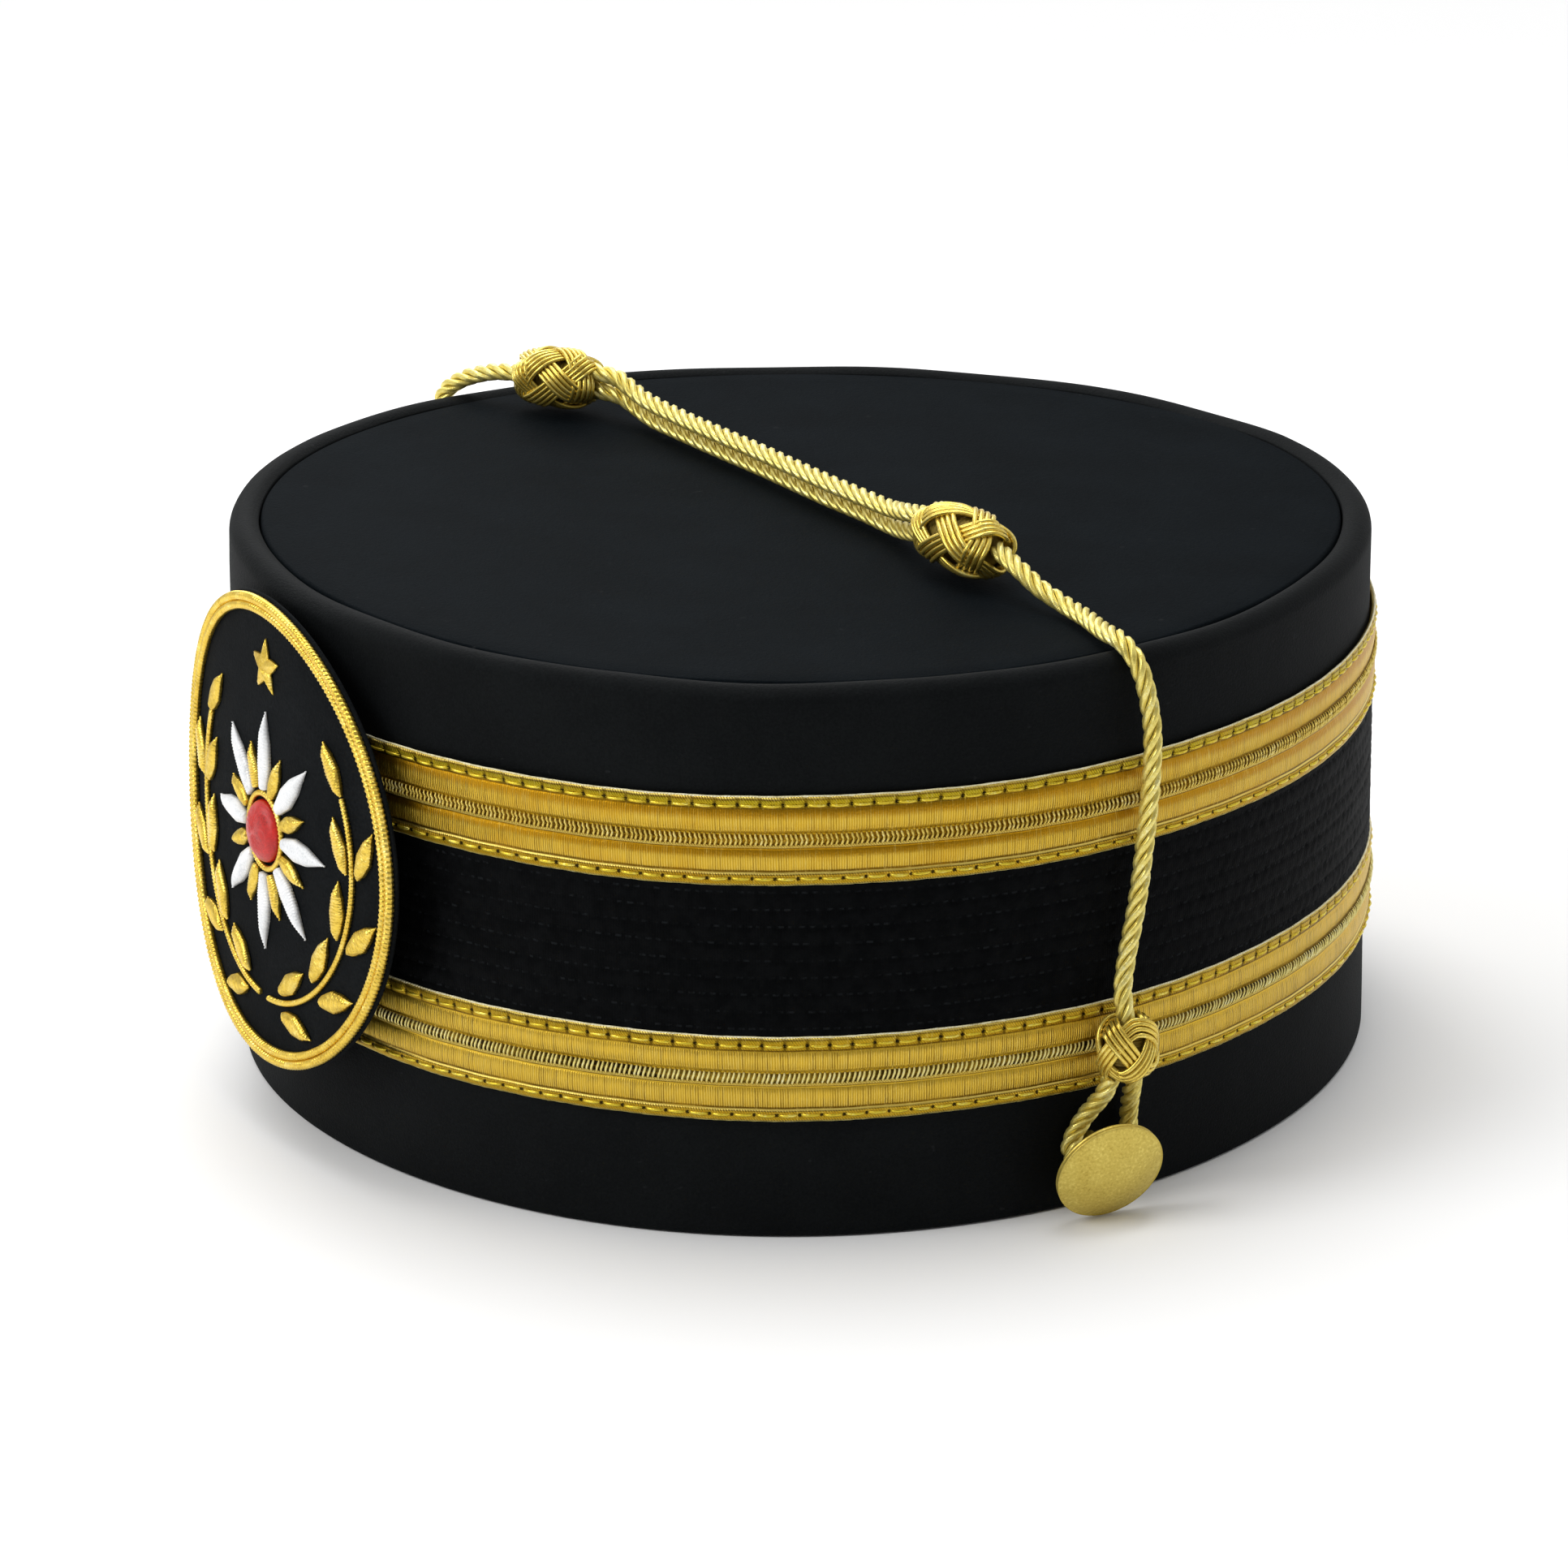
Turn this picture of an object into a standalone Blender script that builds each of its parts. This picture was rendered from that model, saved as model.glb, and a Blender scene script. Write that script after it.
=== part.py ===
"""Masonic cap: a stiff round cap of black cloth with two bands of gold lace round its side,
a quilted band between them, an embroidered badge on the front and a knotted gold cord that
runs over the top from a button on the left to a button on the right.

Metres. The cap rests on its rim at Z = 0, the badge looks along -Y and the wearer's left
is +X. Everything hangs on one empty, which centres the cap on the origin."""
import math

import bpy
import bmesh
from mathutils import Matrix, Vector

# Cap: a slightly egg-shaped tube of cloth with a rolled top edge and a flat top.
HALF_WIDTH = 0.0938
HALF_DEPTH = 0.0960
FRONT_FULLNESS = 0.073
CROWN_HEIGHT = 0.0900
FRONT_RISE = 0.0013
WALL = 0.0025
RIM_EDGE = 0.0004
CORNER_RADIUS = 0.0028
CREST = 0.0007
SEAM_INSET = 0.0049
SEAM_DEPTH = 0.0002
TURNED_EDGE = 0.0022
TOP_THICKNESS = 0.0025
GAP = 0.0003
SIDES = 60

# Bands round the side.
LACE_WIDTH = 0.0141
LACE_THICKNESS = 0.0009
LACE_EDGE_WIDTH = 0.0018
LACE_EDGE_THICKNESS = 0.0012
LOWER_LACE_BASE = 0.0203
UPPER_LACE_BASE = 0.0593
QUILT_THICKNESS = 0.0007

# Badge: a padded disc, bent round the front and leaning in at the top.
BADGE_RADIUS = 0.0395
BADGE_THICKNESS = 0.0026
BADGE_CENTRE = 0.0513
BADGE_BEND = 0.1670
BADGE_LEAN = math.radians(2.7)
BADGE_TURN = math.radians(0.8)
BADGE_MARGIN = 0.0013
BORDER_WIRE = 0.0006
PAD_HEIGHT = 0.0012
STEM_WIRE = 0.0005

# Buttons on shanks.
BUTTON_RADIUS = 0.0091
BUTTON_DOME = 0.0017
BUTTON_RIM = 0.0013
BUTTON_FLOOR = 0.00875
BUTTON_STAND = 0.0092
BUTTON_ALONG = -0.0039
SHANK_RADIUS = 0.0012

# Cord and its knots.
CORD_RADIUS = 0.00155
KNOT_FACE = 0.58
NEAR_KNOT_RADIUS = 0.0059
NEAR_KNOT_LENGTH = 0.0210
FAR_KNOT_RADIUS = 0.0056
FAR_KNOT_LENGTH = 0.0160
SIDE_KNOT_WIDTH = 0.0114
SIDE_KNOT_DEPTH = 0.0090
SIDE_KNOT_HEIGHT = 0.0108
SIDE_KNOT_CENTRE = 0.0278
SIDE_KNOT_ALONG = 0.0012

# Outlines as shares. A ray and a leaf: share of the length, share of the half width.
RAY_OUTLINE = [
    # along, half_width
    (0.00, 0.00),
    (0.00, 0.55),
    (0.30, 1.00),
    (0.60, 0.80),
    (1.00, 0.00),
]
LEAF_OUTLINE = [
    # along, half_width
    (0.00, 0.00),
    (0.16, 0.62),
    (0.45, 1.00),
    (0.75, 0.66),
    (1.00, 0.00),
]
# A knot: share of the half length, share of the radius.
KNOT_OUTLINE = [
    # along, radius
    (-0.80, 0.82),
    (-0.42, 0.97),
    (0.00, 1.00),
    (0.42, 0.97),
    (0.80, 0.82),
]
# A button's dome: share of the dome's height, share of the button's radius.
DOME_OUTLINE = [
    # along, radius
    (0.88, 0.38),
    (0.54, 0.72),
    (0.20, 0.92),
]
# The badge's motifs: shares of the radius that the border leaves free.
RAY_ROWS = [
    # name, first_turn, start, length, half_width
    ("silver_ray", 0.0, 0.205, 0.370, 0.057),
    ("gold_ray", 22.5, 0.205, 0.215, 0.043),
]
BOSS_SHARE = 0.148
BOSS_RING_SHARE = 0.178
STAR_CENTRE = 0.790
STAR_RADIUS = 0.140
STEM_SHARE = 0.805
LEAF_ROWS = [
    # turn on the stem, tilt off the stem, length, half_width
    (-77, 24, 0.270, 0.054),
    (-51, 24, 0.285, 0.056),
    (-25, 24, 0.285, 0.056),
    (1, 24, 0.270, 0.052),
]
STEM_START = -86.5
STEM_END = 27.0
TIP_LENGTH = 0.270
TIP_HALF_WIDTH = 0.052

# Points along the middle of each cord, chosen along the real one. The cord goes from the
# left side knot over the near edge to the near top knot, then doubled to the far top knot,
# then over the far edge to the right side knot. A loop below each side knot goes round
# the button's shank.
LEFT_CORD = [
    (0.0988, 0.0012, 0.0340), (0.0979, 0.0014, 0.0370), (0.0971, 0.0026, 0.0420),
    (0.0970, 0.0046, 0.0516), (0.0970, 0.0060, 0.0625), (0.0970, 0.0069, 0.0720),
    (0.0967, 0.0071, 0.0790), (0.0962, 0.0065, 0.0842), (0.0954, 0.0056, 0.0886),
    (0.0935, 0.0048, 0.0913), (0.0903, 0.0045, 0.0925), (0.0850, 0.0052, 0.0921),
    (0.0774, 0.0067, 0.0919), (0.0705, 0.0071, 0.0920), (0.0644, 0.0060, 0.0934),
    (0.0595, 0.0055, 0.0950), (0.0544, 0.0055, 0.0961),
]
UPPER_CORD = [
    (0.0322, 0.0023, 0.0979), (0.0275, 0.0026, 0.0969), (0.0204, 0.0037, 0.0955),
    (0.0101, 0.0035, 0.0951), (0.0005, 0.0027, 0.0951), (-0.0096, 0.0022, 0.0951),
    (-0.0203, 0.0017, 0.0951), (-0.0352, 0.0006, 0.0951), (-0.0458, 0.0000, 0.0951),
    (-0.0560, -0.0006, 0.0954), (-0.0622, -0.0010, 0.0965), (-0.0655, -0.0016, 0.0974),
    (-0.0682, -0.0030, 0.0977),
]
LOWER_CORD = [
    (0.0321, 0.0033, 0.0944), (0.0275, 0.0039, 0.0932), (0.0204, 0.0048, 0.0920),
    (0.0101, 0.0046, 0.0919), (0.0005, 0.0037, 0.0919), (-0.0096, 0.0032, 0.0919),
    (-0.0203, 0.0027, 0.0919), (-0.0352, 0.0016, 0.0919), (-0.0458, 0.0010, 0.0919),
    (-0.0560, 0.0004, 0.0920), (-0.0622, 0.0000, 0.0930), (-0.0655, -0.0008, 0.0939),
    (-0.0684, -0.0025, 0.0943),
]
RIGHT_CORD = [
    (-0.0823, -0.0136, 0.0960), (-0.0850, -0.0150, 0.0957), (-0.0874, -0.0163, 0.0951),
    (-0.0900, -0.0176, 0.0941), (-0.0922, -0.0190, 0.0929), (-0.0943, -0.0204, 0.0910),
    (-0.0955, -0.0210, 0.0882), (-0.0961, -0.0207, 0.0820), (-0.0972, -0.0185, 0.0740),
    (-0.0974, -0.0146, 0.0660), (-0.0975, -0.0100, 0.0560), (-0.0975, -0.0050, 0.0460),
    (-0.0976, -0.0012, 0.0400), (-0.0980, 0.0007, 0.0370), (-0.0988, 0.0012, 0.0340),
]
LEFT_LOOP = [
    (0.0985, -0.0016, 0.0214), (0.0981, -0.0020, 0.0200), (0.0972, -0.0029, 0.0182),
    (0.0963, -0.0043, 0.0160), (0.0959, -0.0059, 0.0134), (0.0958, -0.0069, 0.0108),
    (0.0958, -0.0055, 0.0078), (0.0958, -0.0015, 0.0064), (0.0958, 0.0024, 0.0080),
    (0.0958, 0.0038, 0.0113), (0.0960, 0.0039, 0.0150), (0.0970, 0.0036, 0.0180),
    (0.0980, 0.0033, 0.0200), (0.0985, 0.0031, 0.0214),
]
CORD_STEP = 0.0082
CORD_BEND = math.radians(26)


def new_material(name, colour, roughness, metallic=0.0):
    material = bpy.data.materials.new(name)
    material.use_nodes = True
    shader = material.node_tree.nodes["Principled BSDF"]
    shader.inputs["Base Color"].default_value = (*colour, 1.0)
    shader.inputs["Roughness"].default_value = roughness
    shader.inputs["Metallic"].default_value = metallic
    material.diffuse_color = (*colour, 1.0)
    return material


def add_object(name, data, material, holder, location=(0, 0, 0), turned_by=None):
    piece = bpy.data.objects.new(name, data)
    data.materials.append(material)
    bpy.context.collection.objects.link(piece)
    piece.parent = holder
    piece.location = location
    if turned_by is not None:
        piece.rotation_mode = "QUATERNION"
        piece.rotation_quaternion = turned_by
    return piece


def skin(name, rings, closed=False):
    """A closed mesh over a stack of rings. A ring of one point is a pole, an end ring of
    more points gets a face, and closed joins the last ring to the first."""
    shape = bmesh.new()
    loops = [[shape.verts.new(point) for point in ring] for ring in rings]
    pairs = list(zip(loops, loops[1:]))
    if closed:
        pairs.append((loops[-1], loops[0]))
    for lower, upper in pairs:
        count = max(len(lower), len(upper))
        for here in range(count):
            there = (here + 1) % count
            corners = [lower[here % len(lower)], lower[there % len(lower)],
                       upper[there % len(upper)], upper[here % len(upper)]]
            face = []
            for corner in corners:
                if corner not in face:
                    face.append(corner)
            shape.faces.new(face)
    if not closed:
        for loop in (loops[0], loops[-1]):
            if len(loop) > 1:
                shape.faces.new(loop)
    bmesh.ops.recalc_face_normals(shape, faces=shape.faces)
    mesh = bpy.data.meshes.new(name)
    shape.to_mesh(mesh)
    shape.free()
    mesh.shade_smooth()
    mesh.set_sharp_from_angle(angle=math.radians(38))
    return mesh


def oval(turn, inset, height, slope=0.0):
    """A point of the cap's outline, turning from the front towards the wearer's left.
    The inset goes in from the wall's face, and slope lets the point rise with the front."""
    across = (HALF_WIDTH - inset) * math.sin(turn) * (1 + FRONT_FULLNESS * math.cos(turn))
    along = -(HALF_DEPTH - inset) * math.cos(turn)
    return Vector((across, along, height - slope * FRONT_RISE * along / HALF_DEPTH))


def oval_ring(inset, height, slope=0.0):
    return [oval(math.tau * step / SIDES, inset, height, slope) for step in range(SIDES)]


def wall_face(along, outset):
    """How far out the side stands at a place along Y, on a face outset from the wall."""
    turn = math.acos(-along / (HALF_DEPTH + outset))
    return oval(turn, -outset, 0.0).x


def crown_side():
    """The wall, its rolled top edge and the edge turned in under the seam."""
    middle = CROWN_HEIGHT + CREST - CORNER_RADIUS
    rows = [(RIM_EDGE, 0.0, 0.0), (0.0, RIM_EDGE, 0.0)]
    for share in (0.0, 0.25, 0.5, 0.75, 1.0):
        angle = share * math.pi / 2
        rows.append((CORNER_RADIUS * (1 - math.cos(angle)),
                     middle + CORNER_RADIUS * math.sin(angle), 1.0))
    fall = CREST + SEAM_DEPTH
    rows += [
        (CORNER_RADIUS + 0.6 * (SEAM_INSET - CORNER_RADIUS),
         CROWN_HEIGHT + CREST - 0.3 * fall, 1.0),
        (SEAM_INSET, CROWN_HEIGHT - SEAM_DEPTH, 1.0),
        (SEAM_INSET, CROWN_HEIGHT - TURNED_EDGE, 1.0),
        ((SEAM_INSET + WALL) / 2, CROWN_HEIGHT - TURNED_EDGE - 0.3 * WALL, 1.0),
        (WALL, CROWN_HEIGHT - TURNED_EDGE - WALL, 1.0),
        (WALL, RIM_EDGE, 0.0),
        (WALL - RIM_EDGE, 0.0, 0.0),
    ]
    return skin("crown_side", [oval_ring(*row) for row in rows], closed=True)


def top_disc():
    """The flat top, a small gap inside the seam."""
    edge = SEAM_INSET + GAP
    rings = [
        [Vector((0, 0, CROWN_HEIGHT))],
        oval_ring(edge + 0.4 * TOP_THICKNESS, CROWN_HEIGHT, 1.0),
        oval_ring(edge + 0.1 * TOP_THICKNESS, CROWN_HEIGHT - 0.1 * TOP_THICKNESS, 1.0),
        oval_ring(edge, CROWN_HEIGHT - 0.4 * TOP_THICKNESS, 1.0),
        oval_ring(edge, CROWN_HEIGHT - TOP_THICKNESS, 1.0),
        [Vector((0, 0, CROWN_HEIGHT - TOP_THICKNESS))],
    ]
    return skin("top_disc", rings)


def lace(name, base):
    """A band of lace with a thicker stitched edge above and below."""
    top = base + LACE_WIDTH
    field = -GAP - LACE_THICKNESS
    edge = -GAP - LACE_EDGE_THICKNESS
    rows = [
        (-GAP, base), (edge, base),
        (edge, base + 0.8 * LACE_EDGE_WIDTH), (field, base + LACE_EDGE_WIDTH),
        (field, top - LACE_EDGE_WIDTH), (edge, top - 0.8 * LACE_EDGE_WIDTH),
        (edge, top), (-GAP, top),
    ]
    return skin(name, [oval_ring(*row) for row in rows], closed=True)


def quilted_band():
    base = LOWER_LACE_BASE + LACE_WIDTH + GAP
    top = UPPER_LACE_BASE - GAP
    face = -GAP - QUILT_THICKNESS
    rows = [(-GAP, base), (face, base), (face, top), (-GAP, top)]
    return skin("quilted_band", [oval_ring(*row) for row in rows], closed=True)


def badge_point(across, up, out):
    """A place on the badge: across and up its face from the middle, and out from it."""
    angle = across / BADGE_BEND
    bent = Vector((
        (BADGE_BEND + out) * math.sin(angle),
        BADGE_BEND - (BADGE_BEND + out) * math.cos(angle),
        up,
    ))
    bent = Matrix.Rotation(-BADGE_LEAN, 3, "X") @ bent
    bent = Matrix.Rotation(-BADGE_TURN, 3, "Z") @ bent
    lace_top = UPPER_LACE_BASE + LACE_WIDTH
    lean = (lace_top - BADGE_CENTRE) * math.tan(BADGE_LEAN)
    front = HALF_DEPTH + LACE_EDGE_THICKNESS + 2 * GAP + BADGE_THICKNESS + lean
    return bent + Vector((0, -front, BADGE_CENTRE))


def badge_circle(radius, out, count):
    steps = [math.tau * step / count for step in range(count)]
    return [badge_point(radius * math.cos(a), radius * math.sin(a), out) for a in steps]


def badge_base():
    back = -BADGE_THICKNESS
    edge = 0.15 * BADGE_THICKNESS
    rings = [[badge_point(0, 0, 0)]]
    for share in (0.34, 0.68):
        rings.append(badge_circle(share * BADGE_RADIUS, 0, 48))
    rings.append(badge_circle(BADGE_RADIUS - edge, 0, 48))
    rings.append(badge_circle(BADGE_RADIUS, -edge, 48))
    rings.append(badge_circle(BADGE_RADIUS, back + edge, 48))
    rings.append(badge_circle(BADGE_RADIUS - edge, back, 48))
    rings.append(badge_circle(0.5 * BADGE_RADIUS, back, 48))
    rings.append([badge_point(0, 0, back)])
    return skin("badge_base", rings)


def badge_wire(name, radius, wire, start, end, count):
    """A wire laid on the badge along a circle, or along a part of one with closed ends."""
    whole = end - start >= 359.9
    steps = count if whole else count + 1
    rings = []
    for step in range(steps):
        turn = math.radians(start + (end - start) * step / count)
        ring = []
        for corner in range(6):
            angle = math.tau * corner / 6
            reach = radius + wire * math.cos(angle)
            ring.append(badge_point(reach * math.cos(turn), reach * math.sin(turn),
                                    GAP + wire * (1 + math.sin(angle))))
        rings.append(ring)
    return skin(name, rings, closed=whole)


def badge_pad(name, outline, foot, turn):
    """An embroidered pad: an outline in metres, its foot on the badge and its turn there."""
    rings = []
    for narrow, out in ((1.0, GAP), (0.9, GAP + 0.6 * PAD_HEIGHT), (0.5, GAP + PAD_HEIGHT)):
        middle = sum(along for along, side in outline) / len(outline)
        ring = []
        for along, side in outline:
            length = middle + (along - middle) * narrow
            width = side * narrow
            ring.append(badge_point(
                foot[0] + length * math.cos(turn) - width * math.sin(turn),
                foot[1] + length * math.sin(turn) + width * math.cos(turn),
                out))
        rings.append(ring)
    return skin(name, rings)


def pad_outline(table, length, half_width):
    """Both sides of an outline that a table gives in shares."""
    left = [(along * length, side * half_width) for along, side in table]
    right = [(along, -side) for along, side in reversed(left) if side > 0]
    return left + right


def star_outline(radius):
    points = []
    for step in range(10):
        reach = radius if step % 2 == 0 else 0.45 * radius
        turn = math.tau * step / 10
        points.append((reach * math.cos(turn), reach * math.sin(turn)))
    return points


def on_badge(radius, degrees):
    turn = math.radians(degrees)
    return radius * math.cos(turn), radius * math.sin(turn)


def add_badge(holder, black, gold, silver, red):
    outer = BADGE_RADIUS - BADGE_MARGIN - BORDER_WIRE
    inner = outer - 2 * BORDER_WIRE - GAP
    free = inner - BORDER_WIRE - GAP
    add_object("badge_base", badge_base(), black, holder)
    add_object("badge_border_outer",
               badge_wire("badge_border_outer", outer, BORDER_WIRE, 0, 360, 48), gold, holder)
    add_object("badge_border_inner",
               badge_wire("badge_border_inner", inner, BORDER_WIRE, 0, 360, 48), gold, holder)

    boss = BOSS_SHARE * free
    rings = [badge_circle(boss, GAP, 20), badge_circle(0.95 * boss, GAP + PAD_HEIGHT, 20),
             badge_circle(0.60 * boss, GAP + 1.8 * PAD_HEIGHT, 20),
             [badge_point(0, 0, GAP + 2.1 * PAD_HEIGHT)]]
    add_object("badge_boss", skin("badge_boss", rings), red, holder)
    ring = badge_wire("badge_boss_ring", BOSS_RING_SHARE * free, STEM_WIRE, 0, 360, 24)
    add_object("badge_boss_ring", ring, gold, holder)

    for name, first, start, length, half_width in RAY_ROWS:
        material = silver if name == "silver_ray" else gold
        outline = pad_outline(RAY_OUTLINE, length * free, half_width * free)
        for step in range(8):
            degrees = first + 45 * step
            label = name + "_" + str(step + 1)
            ray = badge_pad(label, outline, on_badge(start * free, degrees),
                            math.radians(degrees))
            add_object(label, ray, material, holder)

    star = badge_pad("badge_star", star_outline(STAR_RADIUS * free),
                     on_badge(STAR_CENTRE * free, 90), math.radians(90))
    add_object("badge_star", star, gold, holder)

    for side, mirror in (("left", 1), ("right", -1)):
        turns = sorted((90 + mirror * (STEM_START - 90), 90 + mirror * (STEM_END - 90)))
        label = side + "_stem"
        stem = badge_wire(label, STEM_SHARE * free, STEM_WIRE, turns[0], turns[1], 14)
        add_object(label, stem, gold, holder)
        add_branch(holder, gold, free, side, mirror)


def add_branch(holder, gold, free, side, mirror):
    """Pairs of leaves along a stem and one at its tip."""
    clear = STEM_WIRE + GAP
    number = 0
    for place, tilt, length, half_width in LEAF_ROWS:
        outline = pad_outline(LEAF_OUTLINE, length * free, half_width * free)
        for outward in (1, -1):
            number += 1
            spread = outward * (clear + 0.45 * half_width * free)
            foot = on_badge(STEM_SHARE * free + spread, 90 + mirror * (place - 90))
            turn = 90 + mirror * (place - outward * tilt)
            label = side + "_leaf_" + str(number)
            add_object(label, badge_pad(label, outline, foot, math.radians(turn)),
                       gold, holder)
    outline = pad_outline(LEAF_OUTLINE, TIP_LENGTH * free, TIP_HALF_WIDTH * free)
    past = math.degrees(GAP / (STEM_SHARE * free))
    foot = on_badge(STEM_SHARE * free, 90 + mirror * (STEM_END + past - 90))
    turn = 90 + mirror * (STEM_END + 8)
    label = side + "_leaf_" + str(number + 1)
    add_object(label, badge_pad(label, outline, foot, math.radians(turn)), gold, holder)


def turned(name, rows, sides, squash=1.0):
    """A turned body along local Z, from rows of place along and radius, squashed in X."""
    rings = []
    for along, radius in rows:
        if radius == 0:
            rings.append([Vector((0, 0, along))])
            continue
        ring = []
        for step in range(sides):
            angle = math.tau * step / sides
            ring.append(Vector((squash * radius * math.cos(angle),
                                radius * math.sin(angle), along)))
        rings.append(ring)
    return skin(name, rings)


def add_buttons(holder, gilt):
    """Domed buttons that droop, each on a shank that ends at the wall."""
    droop = Vector((0.935, -0.090, -0.343)).normalized()
    middle = Vector((wall_face(BUTTON_ALONG, 0.0) + BUTTON_STAND, BUTTON_ALONG, BUTTON_FLOOR))
    foot = (BUTTON_STAND - GAP) / droop.x - SHANK_RADIUS * abs(droop.z)
    rows = [(BUTTON_DOME, 0.0)]
    rows += [(along * BUTTON_DOME, radius * BUTTON_RADIUS) for along, radius in DOME_OUTLINE]
    rows += [
        (0.0, BUTTON_RADIUS),
        (-0.6 * BUTTON_RIM, BUTTON_RADIUS),
        (-BUTTON_RIM, 0.93 * BUTTON_RADIUS),
        (-BUTTON_RIM, SHANK_RADIUS),
        (-foot, SHANK_RADIUS),
    ]
    for name, side in (("left_button", 1), ("right_button", -1)):
        facing = Vector((side * droop.x, droop.y, droop.z))
        place = Vector((side * middle.x, middle.y, middle.z))
        add_object(name, turned(name, rows, 20), gilt, holder, place,
                   facing.to_track_quat("Z", "Y"))


def knot_rows(half_length, radius):
    rows = [(-half_length, KNOT_FACE * radius)]
    rows += [(along * half_length, share * radius) for along, share in KNOT_OUTLINE]
    rows.append((half_length, KNOT_FACE * radius))
    return rows


def add_knots(holder, gold):
    """Woven knots as plain barrels: two on the top and one above each button."""
    top_knots = (
        # name, place along X and Y, heading, length, radius
        ("near_top_knot", (0.0433, 0.0042), 7, NEAR_KNOT_LENGTH, NEAR_KNOT_RADIUS),
        ("far_top_knot", (-0.0755, -0.0080), 40, FAR_KNOT_LENGTH, FAR_KNOT_RADIUS),
    )
    for name, place, heading, length, radius in top_knots:
        rise = -FRONT_RISE * place[1] / HALF_DEPTH
        middle = Vector((*place, CROWN_HEIGHT + rise + GAP + radius))
        turn = math.radians(heading)
        facing = Vector((math.cos(turn), math.sin(turn), 0))
        add_object(name, turned(name, knot_rows(length / 2, radius), 16), gold, holder,
                   middle, facing.to_track_quat("Z", "Y"))
    out = wall_face(SIDE_KNOT_ALONG, GAP + LACE_THICKNESS) + GAP + SIDE_KNOT_DEPTH / 2
    rows = knot_rows(SIDE_KNOT_HEIGHT / 2, SIDE_KNOT_WIDTH / 2)
    for name, side in (("left_side_knot", 1), ("right_side_knot", -1)):
        barrel = turned(name, rows, 16, SIDE_KNOT_DEPTH / SIDE_KNOT_WIDTH)
        add_object(name, barrel, gold, holder,
                   Vector((side * out, SIDE_KNOT_ALONG, SIDE_KNOT_CENTRE)))


def smooth_route(points):
    """Places on a smooth curve through the points, closer together where it bends."""
    points = [Vector(point) for point in points]
    ends = [2 * points[0] - points[1]] + points + [2 * points[-1] - points[-2]]
    curve = []
    for before, start, end, after in zip(ends, ends[1:], ends[2:], ends[3:]):
        for step in range(16):
            t = step / 16
            curve.append(0.5 * (2 * start + (end - before) * t
                                + (2 * before - 5 * start + 4 * end - after) * t ** 2
                                + (3 * start - before - 3 * end + after) * t ** 3))
    curve.append(points[-1])
    kept = [curve[0]]
    heading = curve[1] - curve[0]
    for here, there in zip(curve[1:], curve[2:]):
        far = (here - kept[-1]).length > CORD_STEP
        bent = (there - here).angle(heading) > CORD_BEND
        clear = (here - curve[-1]).length > 0.4 * CORD_STEP or bent
        if (far or bent) and clear:
            kept.append(here)
            heading = there - here
    kept.append(curve[-1])
    return kept


def add_cord(name, points, material, holder):
    route = smooth_route(points)
    curve = bpy.data.curves.new(name, "CURVE")
    curve.dimensions = "3D"
    curve.bevel_depth = CORD_RADIUS
    curve.bevel_resolution = 2
    curve.use_fill_caps = True
    spline = curve.splines.new("POLY")
    spline.points.add(len(route) - 1)
    for point, place in zip(spline.points, route):
        point.co = (*place, 1.0)
    add_object(name, curve, material, holder)


def centre_on_origin(holder, left_out):
    """Moves the empty so that the cap's box, without the cord, is centred on the origin."""
    bpy.context.view_layer.update()
    corners = []
    for piece in holder.children:
        if piece.type == "MESH" and piece.name not in left_out:
            corners += [piece.matrix_world @ vert.co for vert in piece.data.vertices]
    for axis in (0, 1):
        spread = [corner[axis] for corner in corners]
        holder.location[axis] = -(min(spread) + max(spread)) / 2


def build():
    for old in list(bpy.data.objects):
        bpy.data.objects.remove(old, do_unlink=True)
    cloth = new_material("black cloth", (0.011, 0.013, 0.017), 0.82)
    quilt = new_material("quilted black ribbon", (0.007, 0.007, 0.008), 0.70)
    lace_gold = new_material("gold lace", (0.56, 0.36, 0.08), 0.42, 0.6)
    badge_cloth = new_material("badge cloth", (0.006, 0.006, 0.007), 0.88)
    wire_gold = new_material("gold wire", (0.72, 0.49, 0.11), 0.34, 0.7)
    thread_silver = new_material("silver thread", (0.78, 0.79, 0.80), 0.45)
    red = new_material("red silk", (0.55, 0.03, 0.02), 0.45)
    cord_gold = new_material("gold cord", (0.66, 0.50, 0.20), 0.45, 0.4)
    gilt = new_material("pale gilt", (0.60, 0.49, 0.19), 0.44, 0.9)

    holder = bpy.data.objects.new("cap", None)
    bpy.context.collection.objects.link(holder)
    add_object("crown_side", crown_side(), cloth, holder)
    add_object("top_disc", top_disc(), cloth, holder)
    add_object("lower_lace", lace("lower_lace", LOWER_LACE_BASE), lace_gold, holder)
    add_object("upper_lace", lace("upper_lace", UPPER_LACE_BASE), lace_gold, holder)
    add_object("quilted_band", quilted_band(), quilt, holder)
    add_badge(holder, badge_cloth, wire_gold, thread_silver, red)
    add_buttons(holder, gilt)
    add_knots(holder, cord_gold)
    add_cord("left_cord", LEFT_CORD, cord_gold, holder)
    add_cord("upper_cord", UPPER_CORD, cord_gold, holder)
    add_cord("lower_cord", LOWER_CORD, cord_gold, holder)
    add_cord("right_cord", RIGHT_CORD, cord_gold, holder)
    add_cord("left_loop", LEFT_LOOP, cord_gold, holder)
    add_cord("right_loop", [(-x, y, z) for x, y, z in LEFT_LOOP], cord_gold, holder)
    knots = ("near_top_knot", "far_top_knot", "left_side_knot", "right_side_knot")
    centre_on_origin(holder, knots)


build()
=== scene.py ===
import math
import bpy
import numpy as np
from mathutils import Matrix, Vector


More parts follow.
